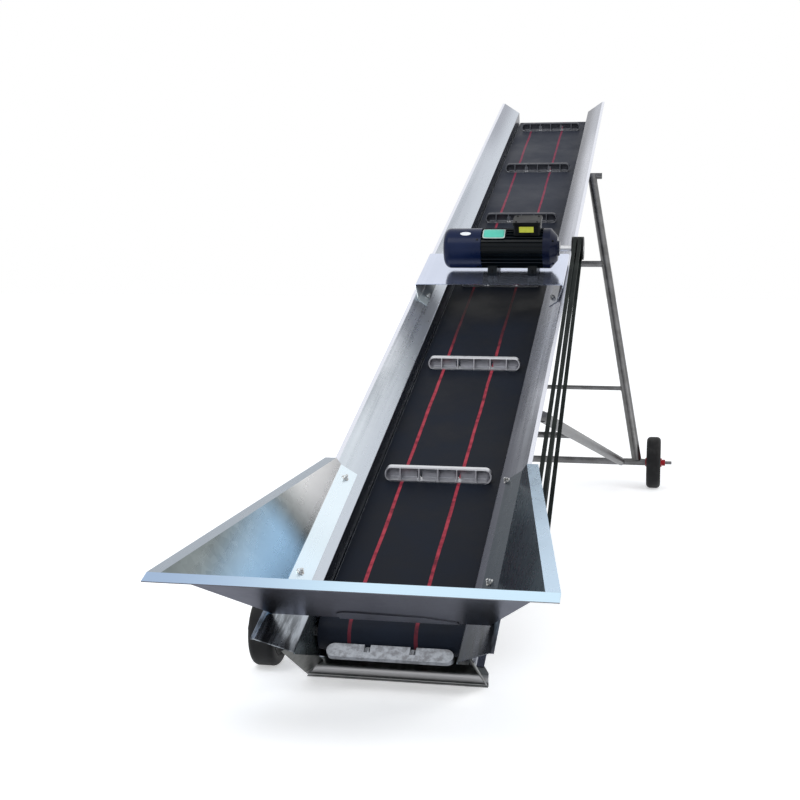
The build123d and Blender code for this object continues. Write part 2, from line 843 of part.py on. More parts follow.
# Twin V-belts round both pulleys
with BuildPart() as v_belts:
    for place in groove_places:
        with BuildSketch(side.offset(place - v_belt_width / 2)):
            for inset, mode in ((0, Mode.ADD), (v_belt_depth, Mode.SUBTRACT)):
                with BuildLine() as loop:
                    CenterArc((motor_station, motor_rise), motor_pulley_radius - inset, 0, 360)
                    CenterArc((drive_station, drum_rise), drive_pulley_radius - inset, 0, 360)
                make_hull(loop.edges(), mode=mode)
        extrude(amount=v_belt_width)
save(v_belts, "v_belts")

# Stand: where its tubes run
pad_rise = -wall_drop - sheet - seat_gap
top_bar_rise = pad_rise - top_bar_radius - lug_ring
top_bar_centre = on_slope(0, stand_station, top_bar_rise)
strut_bar_centre = on_slope(0, strut_station, top_bar_rise)
axle_centre = Vector(0, tail_run + axle_run, wheel_radius)
across = Vector(1, 0, 0)


def leg_ends(hand):
    """Upper and lower ends of a leg's centre line."""
    upper = top_bar_centre + across * hand * leg_top_half_span
    foot_half_span = wheel_track / 2 - hub_length / 2 - leg_hub_clearance
    return upper, axle_centre + across * hand * foot_half_span


def strut_ends(hand):
    """Upper and lower ends of a strut's centre line."""
    upper = strut_bar_centre + across * hand * strut_top_half_span
    return upper, axle_centre + across * hand * strut_foot_half_span


def on_run(ends, height):
    """Point of a centre line at a height over the floor."""
    upper, lower = ends
    return upper + (lower - upper) * ((upper.Z - height) / (upper.Z - lower.Z))


# Cross tubes that run straight through their lugs
cross_tubes = (
    # name, centre, radius, half length
    ("top_bar", top_bar_centre, top_bar_radius, top_bar_half_length),
    ("strut_top_bar", strut_bar_centre, top_bar_radius, strut_top_bar_half_length),
)
for tube_name, centre, radius, half_length in cross_tubes:
    with BuildPart() as tube:
        with BuildSketch(Plane.YZ.offset(-half_length)):
            with Locations((centre.Y, centre.Z)):
                Circle(radius)
                Circle(radius - tube_wall, mode=Mode.SUBTRACT)
        extrude(amount=2 * half_length)
    save(tube, tube_name)

# Lugs under the wall flanges, bored for the cross tubes
lug_root = pad_rise - lug_pad / 2
for lug_name, station in (("stand_lugs", stand_station), ("strut_lugs", strut_station)):
    with BuildPart() as lugs:
        for hand in (-1, 1):
            middle = hand * (half_trough + sheet + wall_flange / 2)
            with BuildSketch(slope.offset(pad_rise)):
                with Locations((middle, station)):
                    Rectangle(wall_flange, lug_width)
            extrude(amount=-lug_pad)
            with BuildSketch(side.offset(middle - plate_thickness / 2)):
                with BuildLine():
                    Line((station - lug_width / 2, lug_root), (station + lug_width / 2, lug_root))
                    CenterArc((station, top_bar_rise), top_bar_radius + lug_ring, 0, 360)
                make_hull()
                with Locations((station, top_bar_rise)):
                    Circle(top_bar_radius + seat_gap, mode=Mode.SUBTRACT)
            extrude(amount=plate_thickness)
    save(lugs, lug_name)

# Legs and struts, each end saddled on the tube that it meets
limb_table = (
    # name, ends of the centre line, radius
    ("leg", leg_ends, leg_radius),
    ("strut", strut_ends, strut_radius),
)
for limb_name, ends_of, radius in limb_table:
    for side_name, hand in (("left", -1), ("right", 1)):
        upper, lower = ends_of(hand)
        start, length = run_between(upper, lower)
        with BuildPart() as limb:
            with BuildSketch(start):
                Circle(radius)
                Circle(radius - tube_wall, mode=Mode.SUBTRACT)
            extrude(amount=length)
            for mate, mate_radius in ((upper, top_bar_radius), (lower, axle_radius)):
                with BuildSketch(Plane.YZ.offset(mate.X - 3 * leg_radius)):
                    with Locations((mate.Y, mate.Z)):
                        Circle(mate_radius + seat_gap)
                extrude(amount=6 * leg_radius, mode=Mode.SUBTRACT)
        save(limb, f"{limb_name}_{side_name}")

# Cross bars between the legs and between the struts, saddled on them
bar_table = (
    # name, limb that carries it, limb radius, height over the floor, radius
    ("cross_bar_upper", leg_ends, leg_radius, upper_bar_height, upper_bar_radius),
    ("cross_bar_lower", leg_ends, leg_radius, lower_bar_height, lower_bar_radius),
    ("strut_cross_bar", strut_ends, strut_radius, strut_bar_height, strut_bar_radius),
)
for bar_name, ends_of, limb_radius, height, radius in bar_table:
    end = on_run(ends_of(1), height)
    with BuildPart() as bar:
        with BuildSketch(Plane.YZ.offset(-end.X)):
            with Locations((end.Y, end.Z)):
                Circle(radius)
                Circle(radius - bar_wall, mode=Mode.SUBTRACT)
        extrude(amount=2 * end.X)
        for hand in (-1, 1):
            upper, lower = ends_of(hand)
            start, length = run_between(upper, lower)
            with BuildSketch(start):
                Circle(limb_radius + seat_gap)
            extrude(amount=length, mode=Mode.SUBTRACT)
    save(bar, bar_name)

# Axle: thick tube between the wheels, then a spindle, a neck and a bare tip at each end
axle_half_length = wheel_track / 2 - hub_length / 2 - side_clearance
spindle_reach = wheel_track / 2 + hub_length / 2 + side_clearance + nut_length + spindle_past_nut
neck_reach = spindle_reach + neck_length
axle_steps = (
    # half length, radius
    (axle_half_length, axle_radius),
    (spindle_reach, spindle_radius),
    (neck_reach, neck_radius),
)
with BuildPart() as axle:
    for half_length, radius in axle_steps:
        with BuildSketch(Plane.YZ.offset(-half_length)):
            with Locations((axle_centre.Y, axle_centre.Z)):
                Circle(radius)
        extrude(amount=2 * half_length)
    for hand in (-1, 1):
        with BuildSketch(Plane.YZ.offset(hand * neck_reach)):
            with Locations((axle_centre.Y, axle_centre.Z)):
                Circle(spindle_tip_radius)
        extrude(amount=hand * spindle_tip)
save(axle, "axle")

# Wheels: hub, dished disc and rim in one, and the tyre on it
tail_centre = Vector(-tail_wheel_offset, tail_run + tail_wheel_run, tail_wheel_radius)
left_centre = axle_centre - across * (wheel_track / 2)
right_centre = axle_centre + across * (wheel_track / 2)
main_sizes = (
    wheel_radius,
    wheel_width,
    tyre_round,
    rim_radius,
    rim_width,
    hub_radius,
    hub_length,
    spindle_radius,
)
tail_sizes = (
    tail_wheel_radius,
    tail_wheel_width,
    tail_tyre_round,
    tail_rim_radius,
    tail_rim_width,
    tail_hub_radius,
    tail_hub_length,
    tail_pin_radius,
)
wheel_table = (
    # name, centre, outward hand, then radius, width and shoulder of the tyre, radius and width
    # of the rim, radius and length of the hub, and radius of the spindle
    ("main_left", left_centre, -1, *main_sizes),
    ("main_right", right_centre, 1, *main_sizes),
    ("tail_left", tail_centre, -1, *tail_sizes),
)
for wheel_name, centre, hand, tyre, width, shoulder, rim, seat, hub, length, spindle in wheel_table:
    wheel_half = Plane(origin=centre, x_dir=(1, 0, 0), z_dir=(0, -1, 0))
    wheel_axis = Axis(centre, (1, 0, 0))
    bore_radius = spindle + running_clearance
    with BuildPart() as wheel_rim:
        with BuildSketch(wheel_half):
            with BuildLine():
                Polyline(
                    (-length / 2, bore_radius),
                    (length / 2, bore_radius),
                    (length / 2, hub),
                    (hand * disc_dish + disc_thickness / 2, hub),
                    (hand * disc_dish + disc_thickness / 2, rim - 2 * disc_thickness),
                    (seat / 2, rim - disc_thickness),
                    (seat / 2, rim),
                    (-seat / 2, rim),
                    (-seat / 2, rim - disc_thickness),
                    (hand * disc_dish - disc_thickness / 2, rim - 2 * disc_thickness),
                    (hand * disc_dish - disc_thickness / 2, hub),
                    (-length / 2, hub),
                    close=True,
                )
            make_face()
        revolve(axis=wheel_axis)
    save(wheel_rim, f"{wheel_name}_rim")
    with BuildPart() as wheel_tyre:
        with BuildSketch(wheel_half):
            with BuildLine():
                FilletPolyline(
                    (-seat / 2, rim + seat_gap),
                    (-width / 2, rim + tyre_foot),
                    (-width / 2, tyre),
                    (width / 2, tyre),
                    (width / 2, rim + tyre_foot),
                    (seat / 2, rim + seat_gap),
                    radius=shoulder,
                )
                Line((seat / 2, rim + seat_gap), (-seat / 2, rim + seat_gap))
            make_face()
        revolve(axis=wheel_axis)
    save(wheel_tyre, f"{wheel_name}_tyre")

# Nuts that hold the wheels on their spindles
with BuildPart() as wheel_nuts:
    for wheel_name, centre, hand, *others, length, spindle in wheel_table:
        with BuildSketch(Plane.YZ.offset(centre.X + hand * (length / 2 + side_clearance))):
            with Locations((centre.Y, centre.Z)):
                RegularPolygon(nut_radius, 6)
                Circle(spindle + seat_gap / 2, mode=Mode.SUBTRACT)
        extrude(amount=hand * nut_length)
save(wheel_nuts, "wheel_nuts")

# Bracket and pin of the tail wheel, on the outside of the left wall
tail_along = (tail_centre - slope.origin).dot(slope_up)
tail_rise = (tail_centre - slope.origin).dot(slope_normal)
wall_face = -half_trough - sheet - seat_gap
shoulder = -tail_wheel_offset + tail_hub_length / 2 + side_clearance
with BuildPart() as tail_bracket:
    with BuildSketch(side.offset(wall_face - plate_thickness)):
        with Locations((tail_along, -wall_drop + fold_radius + seat_gap)):
            Rectangle(bracket_length, bracket_height, align=(Align.CENTER, Align.MIN))
    extrude(amount=plate_thickness)
    with BuildSketch(Plane.YZ.offset(shoulder)):
        with Locations((tail_centre.Y, tail_centre.Z)):
            Circle(tail_pin_radius + pin_collar)
    extrude(amount=wall_face - shoulder)
    with BuildSketch(Plane.YZ.offset(shoulder)):
        with Locations((tail_centre.Y, tail_centre.Z)):
            Circle(tail_pin_radius)
    extrude(amount=-(tail_hub_length + 2 * side_clearance + nut_length + pin_tip))
save(tail_bracket, "tail_wheel_bracket")
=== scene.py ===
"""Looks of the mobile flighted belt conveyor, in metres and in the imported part's frame."""

import math

import bpy
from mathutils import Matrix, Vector


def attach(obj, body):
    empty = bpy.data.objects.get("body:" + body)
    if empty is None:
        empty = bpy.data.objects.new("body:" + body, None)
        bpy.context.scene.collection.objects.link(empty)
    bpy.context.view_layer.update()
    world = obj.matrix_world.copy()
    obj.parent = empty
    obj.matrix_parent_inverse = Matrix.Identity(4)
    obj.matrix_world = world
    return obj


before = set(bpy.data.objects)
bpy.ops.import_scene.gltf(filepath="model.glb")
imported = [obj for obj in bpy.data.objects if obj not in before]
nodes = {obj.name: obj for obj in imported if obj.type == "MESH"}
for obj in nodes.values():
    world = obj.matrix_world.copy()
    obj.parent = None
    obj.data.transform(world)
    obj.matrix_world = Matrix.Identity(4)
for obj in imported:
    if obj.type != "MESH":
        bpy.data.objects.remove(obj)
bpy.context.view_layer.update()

# Camera, floor and studio light
# The photograph looks up the belt from in front of the hopper, from the right of the machine.
# The floor and the surroundings are plain white. One large soft lamp stands high on the left of
# the hopper and a smaller one on the machine's right.
photo_camera = bpy.data.objects.new("photo_camera", bpy.data.cameras.new("photo_camera"))
photo_camera.location = (0.6747, -5.46823, 1.0695)
photo_camera.rotation_euler = [math.radians(angle) for angle in (84.708, -0.2985, 11.1835)]
photo_camera.data.sensor_width = 36.0
photo_camera.data.lens = 60.29
bpy.context.scene.collection.objects.link(photo_camera)
bpy.context.scene.camera = photo_camera
bpy.context.scene.view_settings.view_transform = "Standard"


def new_finish(name, colour, metallic=0.0, roughness=0.5, specular=0.5):
    """A material and its node tree, with the plain values on the shader's own sockets."""
    material = bpy.data.materials.new(name)
    material.use_nodes = True
    shader = material.node_tree.nodes["Principled BSDF"]
    shader.inputs["Base Color"].default_value = (*colour, 1)
    shader.inputs["Metallic"].default_value = metallic
    shader.inputs["Roughness"].default_value = roughness
    shader.inputs["Specular IOR Level"].default_value = specular
    material.diffuse_color = (*colour, 1)
    return material, material.node_tree, shader


def wire_math(tree, operation, *values, clamp=False):
    """A Math node fed by sockets or plain numbers; gives its output."""
    node = tree.nodes.new("ShaderNodeMath")
    node.operation = operation
    node.use_clamp = clamp
    for number, value in enumerate(values):
        if isinstance(value, (int, float)):
            node.inputs[number].default_value = value
        else:
            tree.links.new(value, node.inputs[number])
    return node.outputs[0]


def seen_by_camera(tree):
    """One for what the camera sees, directly, mirrored or through glass, and nothing for light."""
    rays = tree.nodes.new("ShaderNodeLightPath")
    seen, mirrored = rays.outputs["Is Camera Ray"], rays.outputs["Is Glossy Ray"]
    either = wire_math(tree, "MAXIMUM", seen, mirrored)
    return wire_math(tree, "MAXIMUM", either, rays.outputs["Is Transmission Ray"])


def mesh_piece(name, vertices, faces, material, smooth=False):
    """A mesh object of one material, at the origin."""
    mesh = bpy.data.meshes.new(name)
    mesh.from_pydata(vertices, [], faces)
    mesh.materials.append(material)
    for polygon in mesh.polygons:
        polygon.use_smooth = smooth
    piece = bpy.data.objects.new(name, mesh)
    bpy.context.scene.collection.objects.link(piece)
    return piece


floor_finish, tree, shader = new_finish("studio_floor_white", (0.93, 0.93, 0.93), 0.0, 0.9, 0.1)
shader.inputs["Emission Color"].default_value = (1, 1, 1, 1)
glow = wire_math(tree, "MULTIPLY", seen_by_camera(tree), 0.46)
tree.links.new(glow, shader.inputs["Emission Strength"])
far = 60
corners = [(-far, -far, 0), (far, -far, 0), (far, far, 0), (-far, far, 0)]
studio_floor = mesh_piece("studio_floor", corners, [(0, 1, 2, 3)], floor_finish)

studio = bpy.data.worlds.new("studio")
bpy.context.scene.world = studio
studio.use_nodes = True
tree = studio.node_tree
lit = tree.nodes["Background"]
lit.inputs["Color"].default_value = (0.93, 0.96, 1.0, 1)
lit.inputs["Strength"].default_value = 0.74
seen = tree.nodes.new("ShaderNodeBackground")
seen.inputs["Color"].default_value = (1, 1, 1, 1)
seen.inputs["Strength"].default_value = 1.0
choose = tree.nodes.new("ShaderNodeMixShader")
tree.links.new(seen_by_camera(tree), choose.inputs["Fac"])
tree.links.new(lit.outputs[0], choose.inputs[1])
tree.links.new(seen.outputs[0], choose.inputs[2])
tree.links.new(choose.outputs[0], tree.nodes["World Output"].inputs["Surface"])

lamp_table = (
    # name, place, point it faces, width, power in watts
    ("lamp_overhead", (-2.0, -4.2, 5.5), (0.0, 0.0, 0.8), 3.0, 90.0),
    ("lamp_side", (4.2, -1.5, 3.6), (0.0, 0.0, 0.8), 2.0, 55.0),
)
for lamp_name, place, aim, width, power in lamp_table:
    lamp = bpy.data.objects.new(lamp_name, bpy.data.lights.new(lamp_name, "AREA"))
    lamp.data.shape = "SQUARE"
    lamp.data.size = width
    lamp.data.energy = power
    lamp.location = place
    lamp.rotation_euler = (Vector(aim) - Vector(place)).to_track_quat("-Z", "Y").to_euler()
    bpy.context.scene.collection.objects.link(lamp)

# Trough walls, slider deck, cross ties, tail tray and gussets
# Galvanised steel sheet 2.5 mm thick, folded: an upright web, a flare and a narrow lip. The
# zinc shows faint crystals, and long rubbed streaks run the way that the sheet was rolled.
incline = math.radians(20.9)
tail_drum_y = -2.12492
tail_drum_top = Vector((0, tail_drum_y, 0.176))
slope_up = Vector((0, math.cos(incline), math.sin(incline)))
slope_normal = Vector((0, -math.sin(incline), math.cos(incline)))
across = Vector((1, 0, 0))


def on_slope(x, along, rise):
    """Point from a place across, along and over the belt's carrying face, in millimetres."""
    return tail_drum_top + (across * x + slope_up * along + slope_normal * rise) * 0.001


def new_group(name, wanted, given):
    """An empty shader node group with its input and output sockets."""
    group = bpy.data.node_groups.new(name, "ShaderNodeTree")
    for socket_name, value in wanted:
        socket = group.interface.new_socket(
            socket_name, in_out="INPUT", socket_type="NodeSocketFloat"
        )
        socket.default_value = value
    for socket_name, kind in given:
        group.interface.new_socket(socket_name, in_out="OUTPUT", socket_type=kind)
    return group, group.nodes.new("NodeGroupInput"), group.nodes.new("NodeGroupOutput")


def put_group(tree, group, values=()):
    """A node group placed in a tree, with its own values by socket name."""
    node = tree.nodes.new("ShaderNodeGroup")
    node.node_tree = group
    for socket_name, value in values:
        node.inputs[socket_name].default_value = value
    return node


def wire_range(tree, value, low, high, to_low=0.0, to_high=1.0):
    """A smooth Map Range from one span to another, clamped at both ends."""
    node = tree.nodes.new("ShaderNodeMapRange")
    node.interpolation_type = "SMOOTHSTEP"
    tree.links.new(value, node.inputs["Value"])
    spans = (("From Min", low), ("From Max", high), ("To Min", to_low), ("To Max", to_high))
    for socket_name, number in spans:
        node.inputs[socket_name].default_value = number
    return node.outputs["Result"]


def wire_stretch(tree, vector, scale):
    """A vector stretched along its axes."""
    node = tree.nodes.new("ShaderNodeMapping")
    node.inputs["Scale"].default_value = scale
    tree.links.new(vector, node.inputs["Vector"])
    return node.outputs["Vector"]


def wire_noise(tree, vector, scale, detail=4.0, roughness=0.55):
    """A noise texture on a vector; gives its value."""
    node = tree.nodes.new("ShaderNodeTexNoise")
    tree.links.new(vector, node.inputs["Vector"])
    node.inputs["Detail"].default_value = detail
    node.inputs["Roughness"].default_value = roughness
    node.inputs["Scale"].default_value = scale
    return node.outputs["Fac"]


def wire_streaks(tree, vector, stretch, detail, roughness):
    """A noise on a stretched vector; gives its value."""
    return wire_noise(tree, wire_stretch(tree, vector, stretch), 1.0, detail, roughness)


def wire_mix(tree, mask, first, second):
    """A colour mix by a mask; colours are sockets or plain values."""
    node = tree.nodes.new("ShaderNodeMix")
    node.data_type = "RGBA"
    for socket, value in ((0, mask), (6, first), (7, second)):
        if isinstance(value, (int, float)):
            node.inputs[socket].default_value = value
        elif isinstance(value, tuple):
            node.inputs[socket].default_value = (*value, 1)
        else:
            tree.links.new(value, node.inputs[socket])
    return node.outputs[2]


def wire_blend(tree, value, low, high, first, second):
    """A colour mix that goes from the first to the second as a value goes from low to high."""
    return wire_mix(tree, wire_range(tree, value, low, high), first, second)


def wire_bump(tree, shader, height, depth, strength=1.0):
    """A Bump node from a height to the shader's normal."""
    node = tree.nodes.new("ShaderNodeBump")
    node.inputs["Distance"].default_value = depth
    node.inputs["Strength"].default_value = strength
    tree.links.new(height, node.inputs["Height"])
    tree.links.new(node.outputs["Normal"], shader.inputs["Normal"])


# Place on the machine: across, along the slope and over the carrying face, in metres. Flatness
# is one on faces that lie along the slope and nothing on upright ones.
slope_place, wanted, given = new_group(
    "slope_place",
    (),
    (
        ("Place", "NodeSocketVector"),
        ("Across", "NodeSocketFloat"),
        ("Along", "NodeSocketFloat"),
        ("Rise", "NodeSocketFloat"),
        ("Flatness", "NodeSocketFloat"),
    ),
)
texture = slope_place.nodes.new("ShaderNodeTexCoord")
turn = slope_place.nodes.new("ShaderNodeMapping")
turn.vector_type = "TEXTURE"
turn.inputs["Location"].default_value = tail_drum_top
turn.inputs["Rotation"].default_value = (incline, 0, 0)
slope_place.links.new(texture.outputs["Object"], turn.inputs["Vector"])
slope_place.links.new(turn.outputs["Vector"], given.inputs["Place"])
axes = slope_place.nodes.new("ShaderNodeSeparateXYZ")
slope_place.links.new(turn.outputs["Vector"], axes.inputs["Vector"])
for axis, socket_name in (("X", "Across"), ("Y", "Along"), ("Z", "Rise")):
    slope_place.links.new(axes.outputs[axis], given.inputs[socket_name])
face = slope_place.nodes.new("ShaderNodeNewGeometry")
against = slope_place.nodes.new("ShaderNodeVectorMath")
against.operation = "DOT_PRODUCT"
slope_place.links.new(face.outputs["True Normal"], against.inputs[0])
against.inputs[1].default_value = slope_normal
flatness = wire_math(slope_place, "ABSOLUTE", against.outputs["Value"])
slope_place.links.new(flatness, given.inputs["Flatness"])

# Zinc: crystals a centimetre across, long rubbed streaks and a slow unevenness of the sheet
zinc, wanted, given = new_group(
    "zinc_sheet",
    (("Crystal Scale", 70.0), ("Crystals", 0.3), ("Streaks", 0.4), ("Clouds", 0.4)),
    (("Tone", "NodeSocketFloat"), ("Gloss", "NodeSocketFloat"), ("Height", "NodeSocketFloat")),
)
place = put_group(zinc, slope_place)
crystals = zinc.nodes.new("ShaderNodeTexVoronoi")
zinc.links.new(place.outputs["Place"], crystals.inputs["Vector"])
zinc.links.new(wanted.outputs["Crystal Scale"], crystals.inputs["Scale"])
split = zinc.nodes.new("ShaderNodeSeparateColor")
zinc.links.new(crystals.outputs["Color"], split.inputs["Color"])
coarse = wire_streaks(zinc, place.outputs["Place"], (42, 0.9, 42), 3.0, 0.5)
hairline = wire_streaks(zinc, place.outputs["Place"], (130, 1.6, 130), 2.0, 0.5)
cloud = wire_streaks(zinc, place.outputs["Place"], (5, 1.6, 5), 2.0, 0.45)
crystal_part = wire_math(zinc, "SUBTRACT", split.outputs["Red"], 0.5)
coarse_part = wire_math(zinc, "SUBTRACT", wire_range(zinc, coarse, 0.34, 0.66), 0.5)
hairline_part = wire_math(zinc, "SUBTRACT", wire_range(zinc, hairline, 0.30, 0.70), 0.5)
streak_part = wire_math(zinc, "MULTIPLY_ADD", hairline_part, 0.30, coarse_part)
cloud_part = wire_math(zinc, "SUBTRACT", wire_range(zinc, cloud, 0.32, 0.68), 0.5)
tone = wire_math(zinc, "MULTIPLY_ADD", crystal_part, wanted.outputs["Crystals"], 0.5)
tone = wire_math(zinc, "MULTIPLY_ADD", streak_part, wanted.outputs["Streaks"], tone)
tone = wire_math(zinc, "MULTIPLY_ADD", cloud_part, wanted.outputs["Clouds"], tone, clamp=True)
zinc.links.new(tone, given.inputs["Tone"])
rubbed = wire_math(zinc, "MULTIPLY_ADD", coarse, 0.08, 0.02)
gloss = wire_math(zinc, "MULTIPLY_ADD", split.outputs["Green"], 0.02, rubbed)
zinc.links.new(gloss, given.inputs["Gloss"])
zinc.links.new(wire_noise(zinc, place.outputs["Place"], 4.5, 1.0, 0.3), given.inputs["Height"])


sheet_metallic = 0.92
gloss_middle = 0.09


def sheet_finish(
    name, dark, bright, crystals, streaks, clouds, roughness, wave_depth=0.003, scale=70.0
):
    """Galvanised sheet between two tones; gives what a section needs to paint on."""
    material, tree, shader = new_finish(name, bright, sheet_metallic, roughness)
    amounts = (
        ("Crystal Scale", scale), ("Crystals", crystals), ("Streaks", streaks), ("Clouds", clouds),
    )
    sheet = put_group(tree, zinc, amounts)
    colour = wire_mix(tree, sheet.outputs["Tone"], dark, bright)
    level = wire_math(tree, "ADD", sheet.outputs["Gloss"], roughness - gloss_middle, clamp=True)
    tree.links.new(level, shader.inputs["Roughness"])
    wire_bump(tree, shader, sheet.outputs["Height"], wave_depth, 0.6)
    tree.links.new(colour, shader.inputs["Base Color"])
    return material, tree, shader, put_group(tree, slope_place), colour


def dress(node_names, material):
    """Puts a finish on the whole of each CAD node."""
    for node_name in node_names:
        node = nodes[node_name]
        node.data.materials.clear()
        node.data.materials.append(material)


# The flares carry painted light and shade: the left flare is painted lit and the right one is
# painted darker towards its fold. The outer faces are alike on both walls. The webs' inner faces
# carry painted shade, and the tail ends painted shade under the hopper, broken up by streaks.
wall_table = (
    # node, side, flare's painted dark and bright tone, painted tones by the fold, at the hopper
    # and at the head
    (
        "wall_left", -1, (0.34, 0.38, 0.42), (0.82, 0.86, 0.92),
        (0.56, 0.61, 0.68), (0.66, 0.72, 0.78), (0.42, 0.46, 0.53),
    ),
    (
        "wall_right", 1, (0.16, 0.17, 0.20), (0.66, 0.68, 0.75),
        (0.050, 0.055, 0.08), (0.050, 0.058, 0.080), (0.62, 0.64, 0.71),
    ),
)
for node_name, hand, dark, bright, fold_shade_tone, painted_hopper_tone, painted_head_tone in wall_table:
    material, tree, shader, place, colour = sheet_finish(
        f"{node_name}_zinc", dark, bright, 0.10, 0.55, 0.45, 0.30
    )
    from_centre = wire_math(tree, "ABSOLUTE", place.outputs["Across"])
    outer_tone = wire_mix(tree, 0.5, colour, (0.56, 0.59, 0.64))
    # Painted light and shade along the wall: by the hopper, at the head, and darker at the head
    # end
    stretches = (
        # start and end along the slope, share before and after, painted light and shade tone
        (0.7, 1.3, 0.75, 0.0, painted_hopper_tone),
        (2.2, 3.2, 0.0, 0.8, painted_head_tone),
        (3.9, 4.6, 0.0, 0.8, (0.26, 0.28, 0.34)),
    )
    for start, end, before, after, tone in stretches:
        stretch = wire_range(tree, place.outputs["Along"], start, end, before, after)
        colour = wire_mix(tree, stretch, colour, tone)
    # Painted shade near the fold between web and flare
    folded = wire_range(tree, from_centre, 0.212, 0.272, 0.85, 0.0)
    colour = wire_mix(tree, folded, colour, fold_shade_tone)
    # Painted highlight on the walls' upward-facing lips
    lip = wire_range(tree, place.outputs["Flatness"], 0.90, 0.97)
    lip = wire_math(tree, "MULTIPLY", lip, wire_range(tree, place.outputs["Rise"], 0.09, 0.10))
    colour = wire_mix(tree, lip, colour, (0.78, 0.80, 0.88))
    normal = tree.nodes.new("ShaderNodeNewGeometry").outputs["True Normal"]
    sideways = tree.nodes.new("ShaderNodeSeparateXYZ")
    tree.links.new(normal, sideways.inputs["Vector"])
    outwards = wire_math(tree, "MULTIPLY", sideways.outputs["X"], hand)
    colour = wire_mix(tree, wire_range(tree, outwards, 0.2, 0.4), colour, outer_tone)
    # Painted shade under the hopper at the tail end, broken up by streaks
    tail_shade_streaks = wire_streaks(tree, place.outputs["Place"], (60, 7, 60), 4.0, 0.6)
    low = wire_range(tree, place.outputs["Along"], -0.20, 0.10, 1.0, 0.0)
    low = wire_math(tree, "MULTIPLY", low, wire_range(tree, tail_shade_streaks, 0.40, 0.64, 1.0, 0.45))
    colour = wire_mix(tree, low, colour, (0.065, 0.070, 0.078))
    # Painted shade on the webs' inner faces, lighter at the tail end
    inside = wire_range(tree, from_centre, 0.2030, 0.2036, 1.0, 0.0)
    at_tail = wire_range(tree, place.outputs["Along"], -0.08, 0.0, 1.0, 0.0)
    web_shade_tone = wire_mix(tree, at_tail, (0.035, 0.045, 0.07), (0.20, 0.24, 0.25))
    colour = wire_mix(tree, inside, colour, web_shade_tone)
    tree.links.new(colour, shader.inputs["Base Color"])
    dress((node_name,), material)

hidden_sheets = (
    # node, material, dark and bright tone, crystals, streaks, clouds, roughness
    ("slider_deck", "deck_zinc", (0.26, 0.27, 0.29), (0.56, 0.58, 0.60), 0.3, 0.5, 0.3, 0.38),
    ("cross_ties", "under_zinc", (0.28, 0.29, 0.30), (0.60, 0.62, 0.64), 0.5, 0.2, 0.4, 0.42),
)
for node_name, *looks in hidden_sheets:
    dress((node_name,), sheet_finish(*looks)[0])

# The tray and its gussets are dark grey-green as painted shade under the hopper and belt, and the
# tray's front fold carries a painted highlight
material, tree, shader, place, colour = sheet_finish(
    "tray_zinc", (0.10, 0.105, 0.10), (0.24, 0.245, 0.24), 0.25, 0.35, 0.5, 0.40
)
# Painted highlight along the tray's rounded front fold, brightest at its front edge
fold_highlight_mask = wire_range(tree, place.outputs["Rise"], -0.1560, -0.1535, 1.0, 0.0)
over_edge = wire_range(tree, place.outputs["Rise"], -0.178, -0.172)
fold_highlight_mask = wire_math(tree, "MULTIPLY", fold_highlight_mask, over_edge)
colour = wire_mix(tree, fold_highlight_mask, colour, (0.42, 0.42, 0.43))
front_highlight_mask = wire_range(tree, place.outputs["Rise"], -0.185, -0.178, 1.0, 0.0)
colour = wire_mix(tree, front_highlight_mask, colour, (0.60, 0.60, 0.61))
tree.links.new(colour, shader.inputs["Base Color"])
dress(("tail_tray", "tail_gussets"), material)

# Belt
# Black rubber 390 mm wide on a fabric carcass, joined in one loop, with two red lines along it.
# The lines stand a little left of the middle, wander and are rubbed thin in places. The lines
# carry painted shade under the hopper and by the bridge, and the far end is lighter with dust and
# a painted sheen.
line_middle = -0.0225
line_half_spacing = 0.0885
line_wander = 0.010
belt_rubber, tree, shader = new_finish("belt_rubber", (0.005, 0.007, 0.012), 0.0, 0.6, 0.10)
place = put_group(tree, slope_place)
wander = wire_noise(tree, wire_stretch(tree, place.outputs["Place"], (4, 1, 0.2)), 3.0, 2.0, 0.5)
wander = wire_math(tree, "SUBTRACT", wander, 0.5)
wander = wire_math(tree, "MULTIPLY_ADD", wander, line_wander, -line_middle)
shifted = wire_math(tree, "ABSOLUTE", wire_math(tree, "ADD", place.outputs["Across"], wander))
from_line = wire_math(tree, "ABSOLUTE", wire_math(tree, "SUBTRACT", shifted, line_half_spacing))
line_mask = wire_range(tree, from_line, 0.0042, 0.0058, 1.0, 0.0)
rub = wire_noise(tree, place.outputs["Place"], 26.0, 4.0, 0.6)
thinned = wire_math(tree, "MULTIPLY", line_mask, wire_range(tree, rub, 0.28, 0.46, 0.45, 1.0))
smudge = wire_noise(tree, place.outputs["Place"], 4.0, 5.0, 0.6)
rubber_tone = wire_blend(tree, smudge, 0.35, 0.7, (0.0035, 0.0055, 0.011), (0.009, 0.013, 0.023))
# Dust and a painted sheen on the far end of the belt
far_dust_and_sheen = wire_range(tree, place.outputs["Along"], 2.6, 3.8, 0.0, 0.8)
rubber_tone = wire_mix(tree, far_dust_and_sheen, rubber_tone, (0.045, 0.050, 0.068))
line_tone = wire_blend(tree, rub, 0.35, 0.65, (0.26, 0.025, 0.045), (0.43, 0.05, 0.075))
line_tone = wire_mix(tree, far_dust_and_sheen, line_tone, (0.20, 0.035, 0.075))
# Painted shade on the lines under the hopper
hopper_shade_mask = wire_range(tree, place.outputs["Along"], -0.02, 0.03, 0.85, 0.0)
line_tone = wire_mix(tree, hopper_shade_mask, line_tone, (0.06, 0.012, 0.02))
